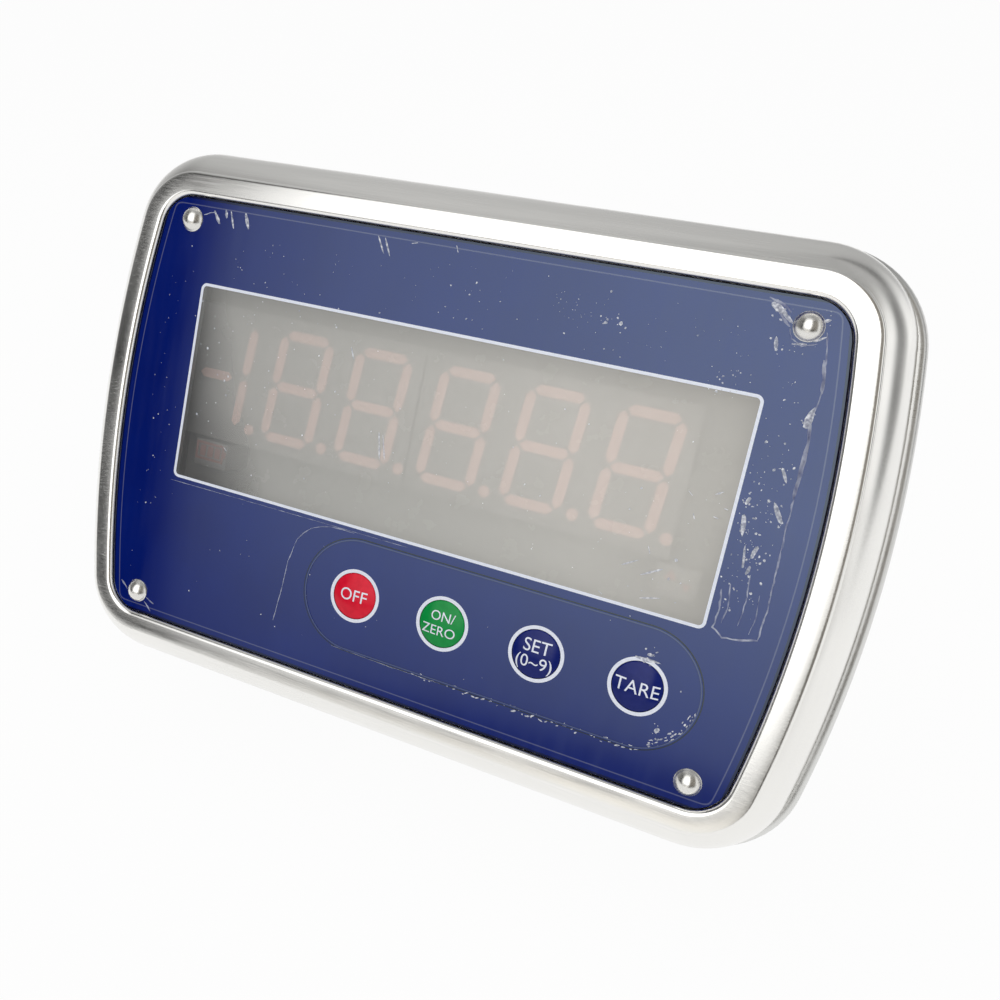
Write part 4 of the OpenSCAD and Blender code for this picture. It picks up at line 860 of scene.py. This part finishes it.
def rear_shell_mesh():
    bm = bmesh.new()
    draw_section(bm, bm.verts.new((rim.half_w, 0, RIM_LOW)), [
        (rim.half_w, RIM_TOP - RIM_ROUND), (rim.half_w - RIM_ROUND, RIM_TOP - RIM_ROUND, 90, 6)])
    rim.sweep(bm, bm.edges[:], top_steps=6)
    rim_edges = open_edges(bm.edges, RIM_TOP - 0.1, 0)
    rim_part = set(bm.edges)
    draw_section(bm, bm.verts.new((box.half_w + 1.5, 0, RIM_TOP)), [
        (box.half_w + 1.5, BOX_BEND, 90, 5), (box.half_w - SHEET, BOX_FOOT),
        (box.half_w - BOX_ROUND, BOX_FOOT, -90, 7)])
    box.sweep(bm, [edge for edge in bm.edges if edge not in rim_part], top_steps=6)
    box_part = [edge for edge in bm.edges if edge not in rim_part]
    back = BOX_FOOT - BOX_ROUND + SHEET
    bmesh.ops.bridge_loops(bm, edges=rim_edges + open_edges(box_part, RIM_TOP - 0.1, 0))
    bmesh.ops.contextual_create(bm, geom=open_edges(box_part, back - 1, back + 0.1))
    face_outwards(bm)
    bmesh.ops.solidify(bm, geom=bm.faces[:], thickness=SHEET)
    face_outwards(bm)
    return bm


rear_steel = brushed_steel("rear_steel", (0.76, 0.76, 0.74), 0.30, (14, 0.12, 0.12))
make_piece(rear_shell_mesh(), "rear_box", "housing", rear_steel, stands_for=["rear_shell"])

# Gasket and rim screws: a black rubber gasket shows as a thin line between the shells, and
# eight zinc-plated pan-head screws with cross recesses hold the rim.
black_rubber = plain_finish("black_rubber", 0.3, (0.012, 0.012, 0.013), (0.026, 0.026, 0.028), 0.75,
                            bump=(0.03, 0.5), IOR=1.45)
zinc = plain_finish("zinc_steel", 0.8, (0.52, 0.52, 0.51), (0.62, 0.62, 0.61), (0.28, 0.42), Metallic=1.0)
PAN_TOP, PAN_SEAT, PAN_R, PAN_ROUND = -12.8, -11.0, 2.6, 1.0
THREAD_R, THREAD_END = 1.5, -5.4
PAN_SECTION = [(0, PAN_TOP), (PAN_R - PAN_ROUND, PAN_TOP), (PAN_R - PAN_ROUND, PAN_TOP + PAN_ROUND, 90, 6),
               (PAN_R, PAN_SEAT), (THREAD_R, PAN_SEAT), (THREAD_R, THREAD_END), (0, THREAD_END)]
CROSS_HALF, CROSS_REACH, CROSS_DEPTH = 0.3, 1.25, 0.7
SIDE_SCREW_OUT, SIDE_SCREW_Y = 7.5, 38
END_SCREW_X, END_SCREW_Y = 42, 66.1


def pan_screw(x, y):
    """A pan-head screw, with the cross of its recess cut into the flat head and pushed in."""
    bm = turned_mesh(PAN_SECTION, 32)
    for axis in ((1, 0, 0), (0, 1, 0)):
        for off in (-CROSS_REACH, -CROSS_HALF, CROSS_HALF, CROSS_REACH):
            cut_across(bm, all_of(bm), axis, off)
    cross = []
    for face in bm.faces:
        middle = face.calc_center_median()
        near, far = sorted((abs(middle.x), abs(middle.y)))
        if middle.z < PAN_TOP + 0.01 and near < CROSS_HALF and far < CROSS_REACH:
            cross.append(face)
    pushed = verts_in(bmesh.ops.extrude_face_region(bm, geom=cross)["geom"])
    bmesh.ops.delete(bm, geom=cross, context="FACES")
    move(bm, pushed, 0, 0, CROSS_DEPTH)
    move(bm, bm.verts[:], x, y)
    return bm


side_screw_x = panel.side_x + math.sqrt((panel.side_r + SIDE_SCREW_OUT) ** 2 - SIDE_SCREW_Y ** 2)
heads = [pan_screw(way_x * x, way_y * y)
         for x, y in ((side_screw_x, SIDE_SCREW_Y), (END_SCREW_X, END_SCREW_Y))
         for way_x in (-1, 1) for way_y in (-1, 1)]
make_piece(gather(heads), "rim_screws", "housing", zinc, stands_for=["shell_screws"])

# Tilt bracket: a strip of 2.5 mm stainless, bent up into two arms that taper to a round top.
# Four holes in its base take the bench screws, and its edges are broken with a file.
STRAP = 2.5
STRAP_HALF_W, STRAP_HALF_D = 94.5, 35
ARM_FOOT, ARM_TAPER, ARM_TOP_R = 5, 12, 18
PIVOT_Y, PIVOT_Z = -17.0, 82.0
BOLT_X, BOLT_Y, BOLT_R, BOLT_PATCH = 75, 23, 2.75, 6


def on_base(item):
    """True for the flat base of the bracket while it is drawn."""
    verts = [item] if isinstance(item, bmesh.types.BMVert) else item.verts
    return all(vert.co.z < STRAP + 0.1 for vert in verts)


def add_ring(bm, segments, radius, place=Matrix.Identity(4)):
    """An open circle; gives its vertices and its edges."""
    verts = bmesh.ops.create_circle(bm, cap_ends=False, segments=segments, radius=radius,
                                    matrix=place)["verts"]
    return verts, list({edge for vert in verts for edge in vert.link_edges})


def cut_bolt_hole(bm, middle):
    """A round hole in the patch of the base round that point."""
    patch = min(bm.faces, key=lambda face: (face.calc_center_median() - middle).length)
    border = patch.edges[:]
    bmesh.ops.delete(bm, geom=[patch], context="FACES_ONLY")
    bmesh.ops.subdivide_edges(bm, edges=border, cuts=5)
    border = [edge for edge in bm.edges if edge.is_boundary
              and all((vert.co - middle).length < 1.5 * BOLT_PATCH for vert in edge.verts)]
    hole, ring = add_ring(bm, 24, BOLT_R, Matrix.Translation(middle))
    move(bm, hole, 0, 0, 2)
    bmesh.ops.bridge_loops(bm, edges=border + ring)
    move(bm, hole, 0, 0, -2)


def bracket_mesh():
    bm = bmesh.new()
    lean = Vector((STRAP_HALF_D - PIVOT_Y, ARM_TAPER - PIVOT_Z))
    tangent = math.atan2(lean.y, lean.x) + math.acos(ARM_TOP_R / lean.length)
    corners = [(-STRAP_HALF_D, ARM_FOOT), (STRAP_HALF_D, ARM_FOOT), (STRAP_HALF_D, ARM_TAPER),
               (PIVOT_Y + ARM_TOP_R * math.cos(tangent), PIVOT_Z + ARM_TOP_R * math.sin(tangent))]
    verts = [bm.verts.new((STRAP_HALF_W, y, z)) for y, z in corners]
    for first, second in zip(verts, verts[1:]):
        bm.edges.new((first, second))
    top = spin(bm, [verts[-1]], (STRAP_HALF_W, PIVOT_Y, PIVOT_Z), (1, 0, 0), math.pi - tangent, 20)
    bm.edges.new((verts_in(top)[0], verts[0]))
    bmesh.ops.contextual_create(bm, geom=bm.edges[:])
    foot = [edge for edge in bm.edges if all(abs(vert.co.z - ARM_FOOT) < 0.01 for vert in edge.verts)]
    edges = edges_in(spin(bm, foot + list(foot[0].verts), (STRAP_HALF_W - STRAP, 0, ARM_FOOT), (0, 1, 0),
                          math.pi / 2, 8))
    for x in (BOLT_X + BOLT_PATCH, BOLT_X - BOLT_PATCH, 0):
        edges = edges_in(bmesh.ops.extrude_edge_only(bm, edges=edges)["geom"])
        for vert in {vert for edge in edges for vert in edge.verts}:
            vert.co.x = x
    for side in (-1, 1):
        for off in (-BOLT_PATCH, BOLT_PATCH):
            cut_across(bm, [item for item in all_of(bm) if on_base(item)], (0, 1, 0), side * BOLT_Y + off)
    middles = [face.calc_center_median() for face in bm.faces]
    for middle in [point for point in middles if abs(point.x - BOLT_X) < 1
                   and abs(abs(point.y) - BOLT_Y) < 1 and point.z < STRAP + 0.5]:
        cut_bolt_hole(bm, middle)
    bmesh.ops.mirror(bm, geom=all_of(bm), merge_dist=0.001, axis="X")
    face_outwards(bm)
    bmesh.ops.solidify(bm, geom=bm.faces[:], thickness=-STRAP)
    face_outwards(bm)
    return bm


bracket_steel = brushed_steel("bracket_steel", (0.70, 0.70, 0.68), 0.32, (0.15, 0.15, 16), 0.0)
bracket = make_piece(bracket_mesh(), "bench_bracket", "bracket", bracket_steel,
                     place=Matrix.Identity(4), stands_for=["tilt_bracket"], sharp=35)
broken = bracket.modifiers.new("broken_edges", "BEVEL")
broken.width = 0.3 * MM
broken.segments = 2
broken.limit_method = "ANGLE"
broken.angle_limit = math.radians(50)

# Clamp knobs: black glass-filled nylon with five lobes, a round foot and a shallow dish in the
# end, each screwed on its own stud.
matt_nylon = plain_finish("black_nylon", 0.35, (0.016, 0.016, 0.017), (0.034, 0.034, 0.036),
                          (0.42, 0.58), detail=4.0, bump=(0.03, 0.6), IOR=1.5)
LOBES, LOBE_AT, LOBE_R = 5, 8.8, 4.2
HOLLOW_AT, HOLLOW_R = 13.48, 4.0
GRIP_LOW, GRIP_H, GRIP_ROUND, DISH_R = 2.5, 11, 1.3, 6
KNOB_FOOT = [(4.05, 0), (7.6, 0), (8.0, 0.4), (8.0, 2.9), (4.05, 2.9)]
KNOB_OUT = 97.3


def knob_mesh():
    """One knob, drawn with its axis up and its foot at nought."""
    bm = bmesh.new()
    half = math.pi / LOBES
    reach = LOBE_R + HOLLOW_R
    meet = math.acos((LOBE_AT ** 2 + reach ** 2 - HOLLOW_AT ** 2) / (2 * LOBE_AT * reach))
    hollow_turn = math.pi - half - meet
    waist = HOLLOW_AT - HOLLOW_R
    at = bm.verts.new((waist * math.cos(-half), waist * math.sin(-half), GRIP_LOW))
    for centre_r, centre_turn, way, turn, steps in ((HOLLOW_AT, -half, -1, hollow_turn, 5),
                                                    (LOBE_AT, 0, 1, 2 * (math.pi - meet), 16),
                                                    (HOLLOW_AT, half, -1, hollow_turn, 5)):
        centre = (centre_r * math.cos(centre_turn), centre_r * math.sin(centre_turn), GRIP_LOW)
        at = verts_in(spin(bm, [at], centre, (0, 0, way), turn, steps))[0]
    bmesh.ops.spin(bm, geom=bm.verts[:] + bm.edges[:], cent=(0, 0, 0), axis=(0, 0, 1),
                   angle=2 * math.pi * (LOBES - 1) / LOBES, steps=LOBES - 1, use_duplicate=True)
    bmesh.ops.remove_doubles(bm, verts=bm.verts[:], dist=0.01)
    base = bmesh.ops.contextual_create(bm, geom=bm.edges[:])["faces"]
    up = bmesh.ops.extrude_face_region(bm, geom=base)["geom"]
    move(bm, verts_in(up), 0, 0, GRIP_H)
    face_outwards(bm)
    round_edges(bm, [edge for edge in bm.edges if len({round(vert.co.z, 2) for vert in edge.verts}) == 1],
                GRIP_ROUND, 5)
    cap = max(bm.faces, key=lambda face: face.calc_center_median().z + face.calc_area() / 1000)
    around = cap.edges[:]
    bmesh.ops.delete(bm, geom=[cap], context="FACES_ONLY")
    _, ring = add_ring(bm, 60, DISH_R, Matrix.Translation((0, 0, GRIP_LOW + GRIP_H)))
    bmesh.ops.bridge_loops(bm, edges=around + ring)
    floor = bmesh.ops.contextual_create(bm, geom=ring)["faces"]
    for inset, sink in ((0.35, 0.15), (0.25, 0.65)):
        bmesh.ops.inset_region(bm, faces=floor, thickness=inset)
        move(bm, floor[0].verts[:], 0, 0, -sink)
    face_outwards(bm)
    return bm


for side, node in ((-1, "knob_left"), (1, "knob_right")):
    on_stud = (Matrix.Translation(tilt["pos_m"]) @ Matrix.Rotation(side * math.pi / 2, 4, "Y")
               @ Matrix.Translation((0, 0, KNOB_OUT * MM)))
    make_piece(gather([knob_mesh(), turned_mesh(KNOB_FOOT, 48)]), f"{node}_grip", node,
               matt_nylon, place=on_stud, stands_for=[node], sharp=45)

# Cable glands: bodies and domed caps of grey nylon, with hexagons for the spanner. A rubber
# seal closes each, a rubber washer lies under it, and a lock nut holds it in the box.
grey_nylon = plain_finish("grey_nylon", 0.5, (0.044, 0.046, 0.050), (0.062, 0.064, 0.069), (0.38, 0.52),
                          bump=(0.02, 0.5), IOR=1.5)
GLAND_X, GLAND_Y = 66, 30
SPANNER = 20
CHAMFER = 0.55
NECK = [(5, 51.8), (8, 51.8), (8, 76.2), (5, 76.2)]
DOME = [(8.3, 69.2), (9.85, 69.2), (9.85, 76.8), (6.85, 76.8, 90, 8), (5.6, 79.8), (5.6, 79.35, 90, 4),
        (5.15, 76.6), (8.3, 76.6)]
SEAL = [(3.2, 68.2), (4.95, 68.2), (4.95, 77.3), (4.55, 77.3, 90, 3), (3.5, 77.7), (3.5, 77.4, 90, 3)]
WASHER = [(8.2, 62), (9.7, 62), (9.7, 62.6, 180, 6), (8.2, 63.2)]


def hexagon(low, high, hole_r, both_ends):
    """A bored hexagon. The corners of its outer end are turned off, or of both ends."""
    bm = bmesh.new()
    half = SPANNER / 2
    bmesh.ops.create_circle(bm, cap_ends=False, segments=6, radius=half / math.cos(math.pi / 6))
    bmesh.ops.subdivide_edges(bm, edges=bm.edges[:], cuts=7)
    outer = bm.edges[:]
    _, inner = add_ring(bm, 48, hole_r)
    bmesh.ops.bridge_loops(bm, edges=outer + inner)
    body = bmesh.ops.extrude_face_region(bm, geom=bm.faces[:])["geom"]
    move(bm, verts_in(body), 0, 0, high - low)
    for level, slope in ((0, CHAMFER), (high - low, -CHAMFER)):
        if level or both_ends:
            for vert in bm.verts:
                over = vert.co.xy.length - half
                if abs(vert.co.z - level) < 0.01 and over > -0.01:
                    vert.co.z += over * slope
    move(bm, bm.verts[:], 0, 0, low)
    face_outwards(bm)
    return bm


def at_both_glands(parts):
    """The same parts at both glands, pointing out of the back."""
    glands = []
    for side in (-1, 1):
        gland = gather([make() for make in parts])
        bmesh.ops.rotate(gland, verts=gland.verts[:], matrix=Matrix.Rotation(math.pi, 3, "X"))
        move(gland, gland.verts[:], side * GLAND_X, GLAND_Y)
        glands.append(gland)
    return gather(glands)


for name, node, slot, finish, parts in (
        ("gland_necks", "gland_bodies", "grey_nylon", grey_nylon,
         [lambda: turned_mesh(NECK, 48), lambda: hexagon(63.2, 68.2, 7.9, False)]),
        ("gland_domes", "gland_caps", "grey_nylon", grey_nylon,
         [lambda: turned_mesh(DOME), lambda: hexagon(68.8, 75.8, 8.2, True)]),
        ("gland_rubber", "gland_seals", "black_rubber", black_rubber, [lambda: turned_mesh(SEAL, 48)]),
        ("gland_rings", "gland_washers", "black_rubber", black_rubber, [lambda: turned_mesh(WASHER)])):
    make_piece(at_both_glands(parts), name, "housing", finish, stands_for=[node])

# Inside the housing and at the pivots: boards, chips, cells and small parts keep their CAD
# shapes, each in the finish of its own trade.
for nodes, finish in (
        (("pivot_studs", "panel_nuts", "clinch_nuts", "key_board_spacers", "display_board_spacers",
          "main_board_spacers", "battery_strap", "shield_can"),
         plain_finish("bright_steel", (0.4, 0.4, 6), (0.66, 0.66, 0.64), (0.76, 0.76, 0.74), (0.14, 0.28),
                      Metallic=1.0)),
        (("key_board_screws", "display_board_screws", "main_board_screws", "battery_strap_screws",
          "transformer_screws"), zinc),
        (("pivot_washers", "shell_gasket"), black_rubber),
        (("gland_lock_nuts",), grey_nylon),
        (("panel_gasket",),
         plain_finish("blue_black_foam", 0.5, (0.012, 0.010, 0.070), (0.022, 0.018, 0.110), (0.54, 0.68))),
        (("panel_plate",),
         plain_finish("mill_aluminium", (9, 0.2, 0.2), (0.70, 0.71, 0.72), (0.78, 0.79, 0.80),
                      (0.30, 0.44), bump=(0.003, 0.6), Metallic=1.0)),
        (("key_board", "main_board"),
         plain_finish("circuit_board", 1.2, (0.006, 0.085, 0.030), (0.012, 0.125, 0.046), (0.26, 0.40),
                      bump=(0.01, 0.6))),
        (("display_board",),
         plain_finish("display_board_white", 1.2, (0.54, 0.54, 0.51), (0.60, 0.60, 0.57), (0.39, 0.53))),
        (("key_switches", "display_chips", "main_board_chips", "ribbon_plugs"),
         plain_finish("chip_plastic", 0.2, (0.010, 0.010, 0.011), (0.022, 0.022, 0.023), (0.49, 0.63),
                      bump=(0.01, 0.6))),
        (("main_board_connectors",),
         plain_finish("terminal_plastic", 0.6, (0.010, 0.16, 0.07), (0.016, 0.21, 0.09), (0.39, 0.53))),
        (("ribbon_cable",),
         plain_finish("ribbon_grey", (1.27, 60, 60), (0.26, 0.26, 0.27), (0.38, 0.38, 0.39), (0.44, 0.58),
                      bump=(0.05, 0.6))),
        (("battery_pack",),
         plain_finish("battery_wrap", 5, (0.012, 0.05, 0.20), (0.02, 0.08, 0.28), (0.22, 0.36),
                      bump=(0.03, 0.6))),
        (("transformer_core",),
         plain_finish("core_steel", (20, 20, 0.5), (0.22, 0.21, 0.20), (0.34, 0.33, 0.31), (0.36, 0.50),
                      bump=(0.02, 0.6), Metallic=1.0)),
        (("transformer_coil",),
         plain_finish("copper_coil", (0.35, 30, 30), (0.52, 0.19, 0.06), (0.74, 0.32, 0.12), (0.24, 0.38),
                      bump=(0.05, 0.6), Metallic=1.0))):
    for node in nodes:
        coat(node, finish)
